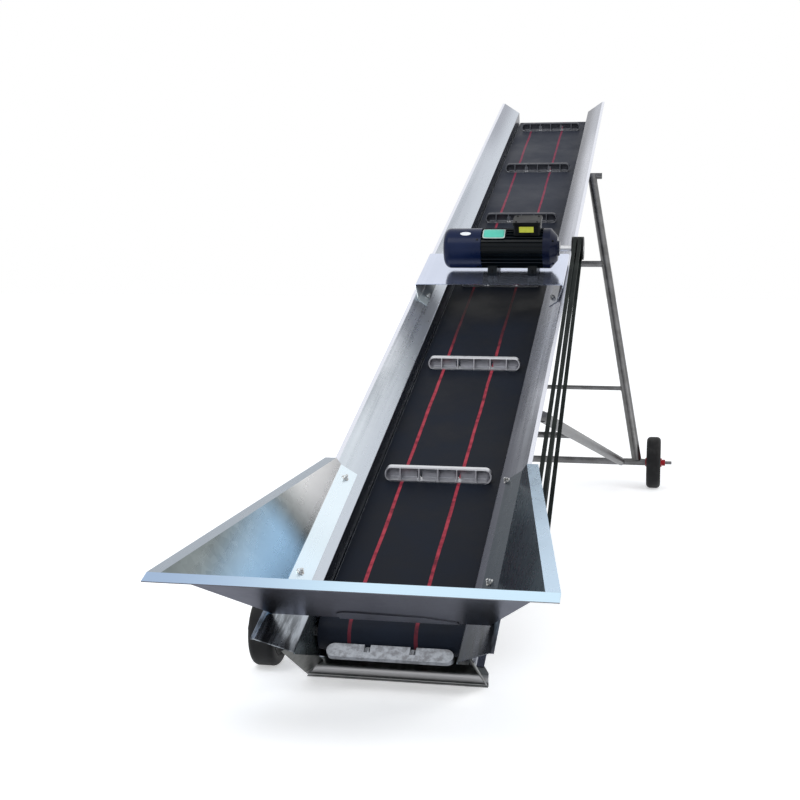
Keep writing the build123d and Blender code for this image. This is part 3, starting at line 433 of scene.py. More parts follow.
# Painted shade on the lines by the motor bridge
bridge_shade_mask = wire_range(tree, place.outputs["Along"], 1.62, 1.92)
past_bridge = wire_range(tree, place.outputs["Along"], 2.30, 2.50, 0.9, 0.0)
bridge_shade_mask = wire_math(tree, "MULTIPLY", bridge_shade_mask, past_bridge)
line_tone = wire_mix(tree, bridge_shade_mask, line_tone, (0.045, 0.012, 0.018))
tree.links.new(wire_mix(tree, thinned, rubber_tone, line_tone), shader.inputs["Base Color"])
tree.links.new(wire_range(tree, smudge, 0.3, 0.7, 0.46, 0.66), shader.inputs["Roughness"])
wire_bump(tree, shader, wire_noise(tree, place.outputs["Place"], 420.0, 2.0, 0.5), 0.0002, 0.4)
dress(("conveyor_belt",), belt_rubber)

# Flights
# Aluminium castings bolted to the belt: a smooth plate, a rim and five ribs between pockets.
# Rims and feet are rubbed bright with a painted highlight, the pockets are darker with dust and
# painted shade, and a bolt sits in each notch. Flights round the tail drum and past the bridge
# carry painted shade.
cast_aluminium, tree, shader = new_finish("cast_aluminium", (0.62, 0.63, 0.65), 0.85, 0.38)
place = put_group(tree, slope_place)
over_belt = wire_math(tree, "ADD", place.outputs["Rise"], 0.045)
over_belt = wire_math(tree, "SUBTRACT", wire_math(tree, "ABSOLUTE", over_belt), 0.045)
from_middle = wire_math(tree, "ABSOLUTE", wire_math(tree, "SUBTRACT", over_belt, 0.021))
rim_mask = wire_range(tree, from_middle, 0.0150, 0.0175)
round_the_drum = wire_range(tree, place.outputs["Along"], -0.02, 0.0, 1.0, 0.0)
rim_mask = wire_math(tree, "MAXIMUM", rim_mask, round_the_drum)
mottle = wire_noise(tree, place.outputs["Place"], 55.0, 5.0, 0.65)
uneven = wire_math(tree, "SUBTRACT", mottle, 0.5)
# Rims and feet rubbed bright with a painted highlight; pockets darker with dust and painted shade
rim_wear_and_highlight = wire_math(tree, "MULTIPLY_ADD", uneven, 0.9, rim_mask, clamp=True)
cast_tone = wire_mix(tree, rim_wear_and_highlight, (0.34, 0.34, 0.37), (0.68, 0.69, 0.72))
# Painted shade on the flights going round the tail drum under the hopper
tail_shade_tone = wire_blend(tree, mottle, 0.35, 0.65, (0.15, 0.155, 0.17), (0.31, 0.33, 0.36))
cast_tone = wire_mix(tree, round_the_drum, cast_tone, tail_shade_tone)
# Painted shade on the flights past the bridge, except their feet
past_bridge = wire_range(tree, place.outputs["Along"], 2.1, 2.5)
off_the_foot = wire_range(tree, over_belt, 0.004, 0.008)
shaded = wire_math(tree, "MULTIPLY", past_bridge, off_the_foot)
cast_tone = wire_mix(tree, shaded, cast_tone, (0.045, 0.048, 0.060))
half_shaded = wire_math(tree, "MULTIPLY", past_bridge, 0.5)
cast_tone = wire_mix(tree, half_shaded, cast_tone, (0.10, 0.105, 0.12))
tree.links.new(cast_tone, shader.inputs["Base Color"])
tree.links.new(wire_range(tree, mottle, 0.3, 0.7, 0.30, 0.52), shader.inputs["Roughness"])
wire_bump(tree, shader, mottle, 0.0005, 0.5)
dress(("flights",), cast_aluminium)

def object_noise(tree, scale, detail, roughness=0.6):
    """A noise that is fixed to its piece by the Object coordinates."""
    texture = tree.nodes.new("ShaderNodeTexCoord")
    return wire_noise(tree, texture.outputs["Object"], scale, detail, roughness)


bolt_zinc, tree, shader = new_finish("bolt_zinc", (0.62, 0.63, 0.64), 0.95, 0.30)
plating = object_noise(tree, 130.0, 4.0)
bolt_tone = wire_blend(tree, plating, 0.35, 0.65, (0.40, 0.39, 0.37), (0.80, 0.82, 0.84))
tree.links.new(bolt_tone, shader.inputs["Base Color"])
tree.links.new(wire_range(tree, plating, 0.3, 0.7, 0.22, 0.42), shader.inputs["Roughness"])

# One bolt for each point, along its "facing": washer, head and stub, turned at random
hex_bolts = bpy.data.node_groups.new("hex_bolts", "GeometryNodeTree")
hex_bolts.interface.new_socket("Points", in_out="INPUT", socket_type="NodeSocketGeometry")
bolt_parts = (("Washer", 20), ("Head", 6), ("Stub", 12))
for part_name, sides in bolt_parts:
    for size_name in ("Width", "Height"):
        socket_name = f"{part_name} {size_name}"
        hex_bolts.interface.new_socket(socket_name, in_out="INPUT", socket_type="NodeSocketFloat")
hex_bolts.interface.new_socket("Turn Seed", in_out="INPUT", socket_type="NodeSocketInt")
hex_bolts.interface.new_socket("Finish", in_out="INPUT", socket_type="NodeSocketMaterial")
hex_bolts.interface.new_socket("Bolts", in_out="OUTPUT", socket_type="NodeSocketGeometry")
wanted = hex_bolts.nodes.new("NodeGroupInput")
given = hex_bolts.nodes.new("NodeGroupOutput")
one_bolt = hex_bolts.nodes.new("GeometryNodeJoinGeometry")
level = None
for part_name, sides in bolt_parts:
    radius = wire_math(hex_bolts, "MULTIPLY", wanted.outputs[f"{part_name} Width"], 0.5)
    disc = hex_bolts.nodes.new("GeometryNodeMeshCylinder")
    disc.inputs["Vertices"].default_value = sides
    hex_bolts.links.new(radius, disc.inputs["Radius"])
    hex_bolts.links.new(wanted.outputs[f"{part_name} Height"], disc.inputs["Depth"])
    half = wire_math(hex_bolts, "MULTIPLY", wanted.outputs[f"{part_name} Height"], 0.5)
    middle = half if level is None else wire_math(hex_bolts, "ADD", half, level)
    lift = hex_bolts.nodes.new("ShaderNodeCombineXYZ")
    hex_bolts.links.new(middle, lift.inputs["Z"])
    move = hex_bolts.nodes.new("GeometryNodeTransform")
    hex_bolts.links.new(disc.outputs["Mesh"], move.inputs["Geometry"])
    hex_bolts.links.new(lift.outputs["Vector"], move.inputs["Translation"])
    hex_bolts.links.new(move.outputs["Geometry"], one_bolt.inputs["Geometry"])
    level = wire_math(hex_bolts, "ADD", middle, half)
facing = hex_bolts.nodes.new("GeometryNodeInputNamedAttribute")
facing.data_type = "FLOAT_VECTOR"
facing.inputs["Name"].default_value = "facing"
align = hex_bolts.nodes.new("FunctionNodeAlignRotationToVector")
align.axis = "Z"
hex_bolts.links.new(facing.outputs["Attribute"], align.inputs["Vector"])
spin = hex_bolts.nodes.new("FunctionNodeRandomValue")
spin.data_type = "FLOAT_VECTOR"
spin.inputs["Max"].default_value = (0, 0, math.tau)
hex_bolts.links.new(wanted.outputs["Turn Seed"], spin.inputs["Seed"])
spin_turn = hex_bolts.nodes.new("FunctionNodeEulerToRotation")
hex_bolts.links.new(spin.outputs["Value"], spin_turn.inputs["Euler"])
turned = hex_bolts.nodes.new("FunctionNodeRotateRotation")
turned.rotation_space = "LOCAL"
hex_bolts.links.new(align.outputs["Rotation"], turned.inputs["Rotation"])
hex_bolts.links.new(spin_turn.outputs["Rotation"], turned.inputs["Rotate By"])
repeat = hex_bolts.nodes.new("GeometryNodeInstanceOnPoints")
hex_bolts.links.new(wanted.outputs["Points"], repeat.inputs["Points"])
hex_bolts.links.new(one_bolt.outputs["Geometry"], repeat.inputs["Instance"])
hex_bolts.links.new(turned.outputs["Rotation"], repeat.inputs["Rotation"])
realize = hex_bolts.nodes.new("GeometryNodeRealizeInstances")
hex_bolts.links.new(repeat.outputs["Instances"], realize.inputs["Geometry"])
paint = hex_bolts.nodes.new("GeometryNodeSetMaterial")
hex_bolts.links.new(realize.outputs["Geometry"], paint.inputs["Geometry"])
hex_bolts.links.new(wanted.outputs["Finish"], paint.inputs["Material"])
hex_bolts.links.new(paint.outputs["Geometry"], given.inputs["Bolts"])


def grow(name, mesh, tree, values, material, smooth=False):
    """Runs a geometry tree over a mesh and keeps its result as a plain mesh at the origin."""
    source = bpy.data.objects.new(name, mesh)
    bpy.context.scene.collection.objects.link(source)
    modifier = source.modifiers.new("grow", "NODES")
    modifier.node_group = tree
    for item in tree.interface.items_tree:
        if item.item_type == "SOCKET" and item.in_out == "INPUT" and item.name in values:
            modifier[item.identifier] = values[item.name]
    shown = source.evaluated_get(bpy.context.evaluated_depsgraph_get())
    grown = bpy.data.meshes.new_from_object(shown)
    source.modifiers.clear()
    source.data = grown
    grown.name = name
    grown.materials.clear()
    grown.materials.append(material)
    for polygon in grown.polygons:
        polygon.material_index = 0
        polygon.use_smooth = smooth
    return source


def bolt_row(name, rows, sizes, body="frame", material=bolt_zinc, seed=1):
    """Hex bolts at (place, facing) rows; sizes are each part's width and height in millimetres."""
    mesh = bpy.data.meshes.new(name + "_points")
    mesh.from_pydata([place for place, facing in rows], [], [])
    ways = mesh.attributes.new("facing", "FLOAT_VECTOR", "POINT")
    for number, (place, facing) in enumerate(rows):
        ways.data[number].vector = facing
    values = {"Turn Seed": seed, "Finish": material}
    for number, (part_name, sides) in enumerate(bolt_parts):
        values[f"{part_name} Width"] = sizes[2 * number] * 0.001
        values[f"{part_name} Height"] = sizes[2 * number + 1] * 0.001
    bolts = grow(name, mesh, hex_bolts, values, material)
    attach(bolts, body)


flight_pitch = 825.0
first_flight = -79.0
drum_spacing = 5050.0
drum_wrap = math.pi * 42.5
loop_rise = -90.0
notch_offset = 60.0
notch_lead = 10.0
bolt_sink = 0.6
rows = []
for number in range(1, 12):
    run = first_flight + number * flight_pitch
    for hand in (-1, 1):
        if run < drum_spacing:
            place = on_slope(hand * notch_offset, run + notch_lead, -bolt_sink)
            rows.append((place, slope_normal))
        else:
            back = 2 * drum_spacing + drum_wrap - run
            place = on_slope(hand * notch_offset, back - notch_lead, loop_rise + bolt_sink)
            rows.append((place, -slope_normal))
bolt_row("flight_bolts", rows, (13, 1.2, 9, 4, 5, 2), seed=3)

# Drums, shafts and flanged bearings
# Turned steel drums and shafts. The bearings are small iron castings in dark paint, each held to
# the wall by three bolts with washers.
turned_steel, tree, shader = new_finish("turned_steel", (0.42, 0.42, 0.43), 0.95, 0.32)
texture = tree.nodes.new("ShaderNodeTexCoord")
rings = wire_streaks(tree, texture.outputs["Object"], (900, 6, 6), 2.0, 0.5)
turned_tone = wire_mix(tree, rings, (0.26, 0.25, 0.25), (0.52, 0.52, 0.53))
tree.links.new(turned_tone, shader.inputs["Base Color"])
tree.links.new(wire_range(tree, rings, 0.3, 0.7, 0.25, 0.45), shader.inputs["Roughness"])
dress(("tail_drum", "head_drum", "drive_shaft"), turned_steel)
housing_paint, tree, shader = new_finish("housing_paint", (0.05, 0.055, 0.06), 0.2, 0.5)
sand = object_noise(tree, 160.0, 4.0)
cast_tone = wire_blend(tree, sand, 0.35, 0.7, (0.035, 0.04, 0.045), (0.10, 0.105, 0.11))
tree.links.new(cast_tone, shader.inputs["Base Color"])
wire_bump(tree, shader, sand, 0.0006, 0.5)
dress(("tail_bearings", "drive_bearings", "head_bearings"), housing_paint)
bearing_face = 212.7
bearing_bolt_circle = 31.5
bearing_bolt_sink = 0.5
shaft_rise = -45.0
drive_station = 400.0
rows = []
for station in (0.0, drive_station, drum_spacing):
    for hand in (-1, 1):
        for angle in (90, 210, 330):
            along = station + bearing_bolt_circle * math.cos(math.radians(angle))
            rise = shaft_rise + bearing_bolt_circle * math.sin(math.radians(angle))
            place = on_slope(hand * (bearing_face - bearing_bolt_sink), along, rise)
            rows.append((place, across * hand))
bolt_row("bearing_bolts", rows, (12, 1.5, 10, 4.5, 6, 3), seed=5)

# Hopper
# Two folded wings and a sloping front in bright galvanised sheet. Their tones carry painted
# light, shade and reflection: the left wing painted lit, with a painted sky-blue reflection by the
# fold and a painted white back, the right wing painted dark, and the flat lips a painted pale,
# almost sky-blue reflection. Bolts hold the wings' flaps to the flares and the front panel to the
# tray.
flap_fold = 0.274
wing_table = (
    # node, panel's painted dark and bright tone, painted light and shade tones of the flap, the
    # fold, the lip and the back
    (
        "hopper_wing_left", (0.12, 0.14, 0.14), (0.33, 0.38, 0.39),
        (0.80, 0.92, 1.0), (0.42, 0.70, 1.0), (0.30, 0.35, 0.41), (1.0, 1.0, 1.0),
    ),
    (
        "hopper_wing_right", (0.038, 0.080, 0.105), (0.10, 0.155, 0.19),
        (0.022, 0.032, 0.046), (0.045, 0.080, 0.110), (0.56, 0.72, 0.88), (0.12, 0.17, 0.20),
    ),
)
for node_name, dark, bright, flap_light_and_shade, fold_reflection_tone, lip_reflection_tone, back_light_and_shade in wing_table:
    material, tree, shader, place, colour = sheet_finish(
        f"{node_name}_zinc", dark, bright, 0.30, 0.10, 0.75, 0.30, 0.004, 45.0
    )
    from_centre = wire_math(tree, "ABSOLUTE", place.outputs["Across"])
    # Painted reflection by the fold, low on the wing
    fold_reflection_mask = wire_range(tree, from_centre, 0.30, 0.41, 0.9, 0.0)
    low_part = wire_range(tree, place.outputs["Along"], 0.25, 0.10)
    fold_reflection_mask = wire_math(tree, "MULTIPLY", fold_reflection_mask, low_part)
    colour = wire_mix(tree, fold_reflection_mask, colour, fold_reflection_tone)
    # Painted light and shade at the back of the wing
    far_back = wire_range(tree, place.outputs["Along"], 0.18, 0.42, 0.0, 0.9)
    colour = wire_mix(tree, far_back, colour, back_light_and_shade)
    # Painted shade towards the wing's outer edge
    outer_edge_shade = wire_range(tree, from_centre, 0.37, 0.43, 0.0, 0.55)
    colour = wire_mix(tree, outer_edge_shade, colour, dark)
    # Painted light on the flap, with painted shade towards its low end
    flap = wire_range(tree, from_centre, flap_fold - 0.001, flap_fold + 0.001, 1.0, 0.0)
    shaded = wire_range(tree, place.outputs["Along"], -0.25, 0.15, 0.6, 0.0)
    shade_tone = wire_mix(tree, shaded, flap_light_and_shade, tuple(value * 0.40 for value in flap_light_and_shade))
    colour = wire_mix(tree, wire_math(tree, "MULTIPLY", flap, 0.9), colour, shade_tone)
    # Painted reflection on the wings' flat lips
    lip = wire_range(tree, place.outputs["Flatness"], 0.92, 0.96)
    colour = wire_mix(tree, lip, colour, lip_reflection_tone)
    tree.links.new(colour, shader.inputs["Base Color"])
    dress((node_name,), material)

# The front panel is painted dark as shade, painted lighter towards the right, and its lip carries
# a painted sky-blue reflection that brightens towards the right
material, tree, shader, place, colour = sheet_finish(
    "hopper_front_zinc", (0.060, 0.060, 0.070), (0.115, 0.115, 0.130),
    0.15, 0.10, 0.6, 0.34, 0.004, 45.0,
)
shader.inputs["Specular Tint"].default_value = (0.55, 0.56, 0.62, 1)
lip = wire_range(tree, place.outputs["Flatness"], 0.92, 0.96)
lip_reflection_ramp = wire_range(tree, place.outputs["Across"], -0.45, 0.10)
right_side_light = wire_range(tree, place.outputs["Across"], -0.1, 0.40, 0.0, 0.5)
colour = wire_mix(tree, right_side_light, colour, (0.20, 0.21, 0.23))
lip_reflection_tone = wire_mix(tree, lip_reflection_ramp, (0.38, 0.50, 0.68), (0.66, 0.86, 1.0))
colour = wire_mix(tree, lip, colour, lip_reflection_tone)
tree.links.new(colour, shader.inputs["Base Color"])
dress(("hopper_front",), material)

flare_angle = math.atan2(57.0, 82.0)
hopper_bolts = (
    # across, along, rise
    (-251.0, 580.0, 90.7),
    (-257.0, 66.0, 94.8),
    (229.0, 624.0, 75.4),
    (248.0, 68.0, 88.6),
)


def on_flare(x, along, rise):
    """A bolt's place on a flare and its facing, square to the flare and towards the belt."""
    inwards = -1 if x > 0 else 1
    facing = across * inwards * math.sin(flare_angle) + slope_normal * math.cos(flare_angle)
    return on_slope(x, along, rise), facing


rows = [on_flare(x, along, rise) for x, along, rise in hopper_bolts]
bolt_row("hopper_bolts", rows, (22, 2, 15, 6, 8, 5), seed=7)

# Motor bridge
# Bright folded sheet over the trough, so smooth that it mirrors the motor. Its legs' front edges
# are dull, the left leg painted lighter and the right one darker as painted light and shade, and
# bolts hold its feet to the flares.
material, tree, shader, place, colour = sheet_finish(
    "bridge_zinc", (0.54, 0.60, 0.74), (0.72, 0.77, 0.92), 0.06, 0.12, 0.4, 0.17, 0.0012
)
# Painted light and shade on the legs: lighter on the left, darker on the right
legs = wire_range(tree, place.outputs["Rise"], 0.138, 0.147, 0.85, 0.0)
leg_light_and_shade = wire_blend(
    tree, place.outputs["Across"], -0.1, 0.1, (0.36, 0.41, 0.41), (0.075, 0.085, 0.11)
)
colour = wire_mix(tree, legs, colour, leg_light_and_shade)
tree.links.new(wire_math(tree, "MULTIPLY_ADD", legs, -0.75, 0.92), shader.inputs["Metallic"])
tree.links.new(colour, shader.inputs["Base Color"])
dress(("motor_bridge",), material)
bridge_bolt_across = 245.0
bridge_bolt_rise = 89.2
rows = []
for hand in (-1, 1):
    for along in (2050.0, 2335.0):
        rows.append(on_flare(hand * bridge_bolt_across, along, bridge_bolt_rise))
bolt_row("bridge_bolts", rows, (20, 2, 15, 6, 8, 5), seed=9)

# Motor
# Finned cast body in black-green paint, deep blue sheet fan cover and cast end bell, and a
# black junction box with a thick lid. All enamel, slightly orange-peeled. The plates are blank.
def enamel(name, colour, shade, roughness, depth=0.0003):
    """Sprayed enamel with a soft unevenness and thin dust."""
    material, tree, shader = new_finish(name, colour, 0.0, roughness, 0.10)
    shader.inputs["Coat Weight"].default_value = 0.10
    shader.inputs["Coat Roughness"].default_value = 0.15
    peel = object_noise(tree, 240.0, 2.0, 0.5)
    patch = object_noise(tree, 9.0, 5.0)
    painted = wire_blend(tree, patch, 0.3, 0.7, colour, shade)
    tree.links.new(painted, shader.inputs["Base Color"])
    level = wire_range(tree, patch, 0.3, 0.7, roughness - 0.08, roughness + 0.1)
    tree.links.new(level, shader.inputs["Roughness"])
    wire_bump(tree, shader, peel, depth, 0.5)
    return material


body_enamel = enamel("body_enamel", (0.0006, 0.002, 0.004), (0.001, 0.004, 0.007), 0.36)
cover_enamel = enamel("cover_enamel", (0.003, 0.009, 0.038), (0.006, 0.014, 0.052), 0.30)
black_enamel = enamel("black_enamel", (0.001, 0.0015, 0.002), (0.005, 0.006, 0.007), 0.38)
dress(("motor_body",), body_enamel)
dress(("motor_fan_cover",), cover_enamel)
# The end bell is darker, and the shaft that comes out of it is bare steel
bell_enamel = enamel("bell_enamel", (0.002, 0.004, 0.018), (0.004, 0.008, 0.028), 0.30)
tree = bell_enamel.node_tree
shader = tree.nodes["Principled BSDF"]
place = put_group(tree, slope_place)
shaft = wire_range(tree, place.outputs["Across"], 0.2645, 0.2655)
painted = shader.inputs["Base Color"].links[0].from_socket
tree.links.new(wire_mix(tree, shaft, painted, (0.55, 0.56, 0.58)), shader.inputs["Base Color"])
tree.links.new(shaft, shader.inputs["Metallic"])
dress(("motor_end_bell",), bell_enamel)
dress(("junction_box",), black_enamel)

motor_along = 2180.0
motor_rise = 242.5
motor_radius = 78.0
motor_left, motor_right = -38.0, 203.0
plate_proud, plate_sink = 0.6, 0.4


def round_the_motor(x, degrees, radius):
    """Point round the motor's axis; no degrees is up, and more turn towards the tail."""
    angle = math.radians(degrees)
    along = motor_along - radius * math.sin(angle)
    return on_slope(x, along, motor_rise + radius * math.cos(angle))


def away_from_motor(x, degrees):
    """Direction straight out from the motor's axis."""
    return (round_the_motor(x, degrees, 2.0) - round_the_motor(x, degrees, 1.0)).normalized()


def curved_plate(name, left, right, low, high, radius, colour, oval=False):
    """Thin blank plate bent round the motor, with rounded corners or as an oval."""
    material, tree, shader = new_finish(name + "_paint", colour, 0.0, 0.38)
    fade = object_noise(tree, 60.0, 3.0, 0.5)
    paler = tuple(min(1.0, value * 1.15 + 0.01) for value in colour)
    tree.links.new(wire_mix(tree, fade, colour, paler), shader.inputs["Base Color"])
    middle_x, middle_turn = (left + right) / 2, (low + high) / 2
    half_x, half_turn = (right - left) / 2, (high - low) / 2
    power = 1.0 if oval else 0.22
    steps, rings = 48, 6
    rim = []
    for step in range(steps):
        angle = math.tau * step / steps
        cosine, sine = math.cos(angle), math.sin(angle)
        x = middle_x + half_x * math.copysign(abs(cosine) ** power, cosine)
        degrees = middle_turn + half_turn * math.copysign(abs(sine) ** power, sine)
        rim.append((x, degrees))
    vertices, faces = [], []
    for ring in range(1, rings + 1):
        for x, degrees in rim:
            share = ring / rings
            place_x = middle_x + (x - middle_x) * share
            place_turn = middle_turn + (degrees - middle_turn) * share
            vertices.append(round_the_motor(place_x, place_turn, radius + plate_proud))
    for x, degrees in rim:
        vertices.append(round_the_motor(x, degrees, radius - plate_sink))
    vertices.append(round_the_motor(middle_x, middle_turn, radius + plate_proud))
    for ring in range(rings):
        for step in range(steps):
            after = (step + 1) % steps
            a, b = ring * steps + step, ring * steps + after
            faces.append((a, b, b + steps, a + steps))
    for step in range(steps):
        faces.append((len(vertices) - 1, (step + 1) % steps, step))
    plate = mesh_piece(name, vertices, faces, material, True)
    if plate.data.polygons[-1].normal.dot(away_from_motor(middle_x, middle_turn)) < 0:
        plate.data.flip_normals()
    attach(plate, "frame")


plate_table = (
    # name, left, right, low and high degrees, height over the motor, colour, oval
    ("rating_plate_border", -32.0, 56.0, 2.0, 41.0, 0.0, (0.60, 0.70, 0.66), False),
    ("rating_plate", -28.5, 52.5, 4.5, 38.5, 0.5, (0.075, 0.52, 0.40), False),
    ("cover_badge", -121.0, -79.0, 17.0, 31.0, 0.0, (0.82, 0.84, 0.86), True),
)
for name, left, right, low, high, over, colour, oval in plate_table:
    curved_plate(name, left, right, low, high, motor_radius + over, colour, oval)

# Blank yellow plate on the junction box's front face, and the screws of its lid
box_left, box_right, box_front = 89.0, 193.0, motor_along - 42.0
plate_left, plate_right, plate_low, plate_high = 112.0, 168.0, 322.0, 345.0
yellow_paint, tree, shader = new_finish("yellow_plate_paint", (0.62, 0.66, 0.06), 0.0, 0.42)
fade = object_noise(tree, 70.0, 3.0, 0.5)
faded_yellow = wire_mix(tree, fade, (0.55, 0.58, 0.05), (0.72, 0.76, 0.09))
tree.links.new(faded_yellow, shader.inputs["Base Color"])
corners = (
    (plate_left, plate_low),
    (plate_right, plate_low),
    (plate_right, plate_high),
    (plate_left, plate_high),
)
vertices = []
for depth in (0.9, -0.3):
    for x, rise in corners:
        vertices.append(on_slope(x, box_front - depth, rise))
faces = [(0, 1, 2, 3), (4, 5, 1, 0), (5, 6, 2, 1), (6, 7, 3, 2), (7, 4, 0, 3), (7, 6, 5, 4)]
box_plate = mesh_piece("box_plate", vertices, faces, yellow_paint)
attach(box_plate, "frame")
lid_screw_inset = 11.0
lid_screw_half_span = 33.0
lid_top = 362.2
rows = []
for x in (box_left + lid_screw_inset, box_right - lid_screw_inset):
    for along in (motor_along - lid_screw_half_span, motor_along + lid_screw_half_span):
        rows.append((on_slope(x, along, lid_top), slope_normal))
bolt_row("lid_screws", rows, (8, 0.6, 7, 2, 3, 0.4), "frame", black_enamel, 11)
cover_screw_across = -52.0
cover_screw_sink = 0.3
rows = []
for degrees in range(45, 360, 90):
    place = round_the_motor(cover_screw_across, degrees, motor_radius - cover_screw_sink)
    rows.append((place, away_from_motor(0, degrees)))
bolt_row("cover_screws", rows, (8, 0.6, 7, 2.2, 3, 0.4), "frame", black_enamel, 13)
bell_rim_across = 203.2 + 26.0
bell_bolt_inset = 12.0
rows = []
for degrees in range(45, 360, 90):
    place = round_the_motor(bell_rim_across, degrees, motor_radius - bell_bolt_inset)
    rows.append((place, across))
bolt_row("bell_bolts", rows, (11, 1, 9, 14, 5, 2), "frame", black_enamel, 15)
# The motor's foot bolts take black enamel as painted shade under the motor
foot_inset = 42.0
foot_half_span = 61.0
foot_top = 162.0
rows = []
for x in (motor_left + foot_inset, motor_right - foot_inset):
    for along in (motor_along - foot_half_span, motor_along + foot_half_span):
        rows.append((on_slope(x, along, foot_top), slope_normal))
bolt_row("motor_foot_bolts", rows, (18, 2, 14, 7, 8, 5), "frame", black_enamel, 17)

# Pulleys and V-belts
# Cast grooved pulleys in black paint and two rubber V-belts down the right side.
dress(("motor_pulley", "drive_pulley"), black_enamel)
v_belt_rubber, tree, shader = new_finish("v_belt_rubber", (0.006, 0.010, 0.009), 0.0, 0.6, 0.12)
weave = object_noise(tree, 500.0, 2.0, 0.5)
dusty = object_noise(tree, 12.0, 4.0)
belt_tone = wire_blend(tree, dusty, 0.4, 0.75, (0.003, 0.006, 0.0055), (0.016, 0.021, 0.019))
tree.links.new(belt_tone, shader.inputs["Base Color"])
wire_bump(tree, shader, weave, 0.0004, 0.5)
dress(("v_belts",), v_belt_rubber)

# Stand
# Bare steel tubes, drawn smooth, saddled on each other and welded all round with small beads.
# The axle's tips and the tail bracket are the same steel.
tube_steel, tree, shader = new_finish("tube_steel", (0.45, 0.45, 0.44), 0.95, 0.30)
scuff = object_noise(tree, 14.0, 5.0)
fine = object_noise(tree, 300.0, 3.0)
tube_tone = wire_blend(tree, scuff, 0.35, 0.65, (0.13, 0.13, 0.13), (0.19, 0.19, 0.195))
tree.links.new(tube_tone, shader.inputs["Base Color"])
tree.links.new(wire_range(tree, scuff, 0.3, 0.7, 0.34, 0.44), shader.inputs["Roughness"])
wire_bump(tree, shader, fine, 0.0001, 0.3)
dress(
    (
        "top_bar", "strut_top_bar", "stand_lugs", "strut_lugs", "leg_left", "leg_right",
        "strut_left", "strut_right", "cross_bar_upper", "cross_bar_lower", "strut_cross_bar",
        "axle", "tail_wheel_bracket",
    ),
    tube_steel,
)

# A bead for each loop of points: swept round with a ripple, as a welder lays it
weld_bead = bpy.data.node_groups.new("weld_bead", "GeometryNodeTree")
weld_bead.interface.new_socket("Loops", in_out="INPUT", socket_type="NodeSocketGeometry")
for socket_name in ("Step", "Bead Radius", "Ripple"):
    weld_bead.interface.new_socket(socket_name, in_out="INPUT", socket_type="NodeSocketFloat")
weld_bead.interface.new_socket("Ripple Seed", in_out="INPUT", socket_type="NodeSocketInt")
weld_bead.interface.new_socket("Finish", in_out="INPUT", socket_type="NodeSocketMaterial")
weld_bead.interface.new_socket("Beads", in_out="OUTPUT", socket_type="NodeSocketGeometry")
wanted = weld_bead.nodes.new("NodeGroupInput")
given = weld_bead.nodes.new("NodeGroupOutput")
path = weld_bead.nodes.new("GeometryNodeMeshToCurve")
weld_bead.links.new(wanted.outputs["Loops"], path.inputs["Mesh"])
stepped = weld_bead.nodes.new("GeometryNodeResampleCurve")
stepped.mode = "LENGTH"
weld_bead.links.new(path.outputs["Curve"], stepped.inputs["Curve"])
weld_bead.links.new(wanted.outputs["Step"], stepped.inputs["Length"])
uneven = weld_bead.nodes.new("FunctionNodeRandomValue")
uneven.data_type = "FLOAT"
weld_bead.links.new(wanted.outputs["Ripple Seed"], uneven.inputs["Seed"])
lowest = wire_math(weld_bead, "SUBTRACT", 1.0, wanted.outputs["Ripple"])
highest = wire_math(weld_bead, "ADD", 1.0, wanted.outputs["Ripple"])
weld_bead.links.new(lowest, uneven.inputs[2])
weld_bead.links.new(highest, uneven.inputs[3])
ripple = weld_bead.nodes.new("GeometryNodeSetCurveRadius")
weld_bead.links.new(stepped.outputs["Curve"], ripple.inputs["Curve"])
weld_bead.links.new(uneven.outputs[1], ripple.inputs["Radius"])
round_profile = weld_bead.nodes.new("GeometryNodeCurvePrimitiveCircle")
round_profile.inputs["Resolution"].default_value = 8
weld_bead.links.new(wanted.outputs["Bead Radius"], round_profile.inputs["Radius"])
sweep = weld_bead.nodes.new("GeometryNodeCurveToMesh")
weld_bead.links.new(ripple.outputs["Curve"], sweep.inputs["Curve"])
weld_bead.links.new(round_profile.outputs["Curve"], sweep.inputs["Profile Curve"])
weld_bead.links.new(uneven.outputs[1], sweep.inputs["Scale"])
realize = weld_bead.nodes.new("GeometryNodeRealizeInstances")
weld_bead.links.new(sweep.outputs["Mesh"], realize.inputs["Geometry"])
paint = weld_bead.nodes.new("GeometryNodeSetMaterial")
weld_bead.links.new(realize.outputs["Geometry"], paint.inputs["Geometry"])
weld_bead.links.new(wanted.outputs["Finish"], paint.inputs["Material"])
weld_bead.links.new(paint.outputs["Geometry"], given.inputs["Beads"])

weld_steel, tree, shader = new_finish("weld_steel", (0.30, 0.29, 0.28), 0.9, 0.42)
heat = object_noise(tree, 90.0, 4.0)
heat_tone = wire_blend(tree, heat, 0.35, 0.65, (0.10, 0.09, 0.085), (0.24, 0.235, 0.23))
tree.links.new(heat_tone, shader.inputs["Base Color"])

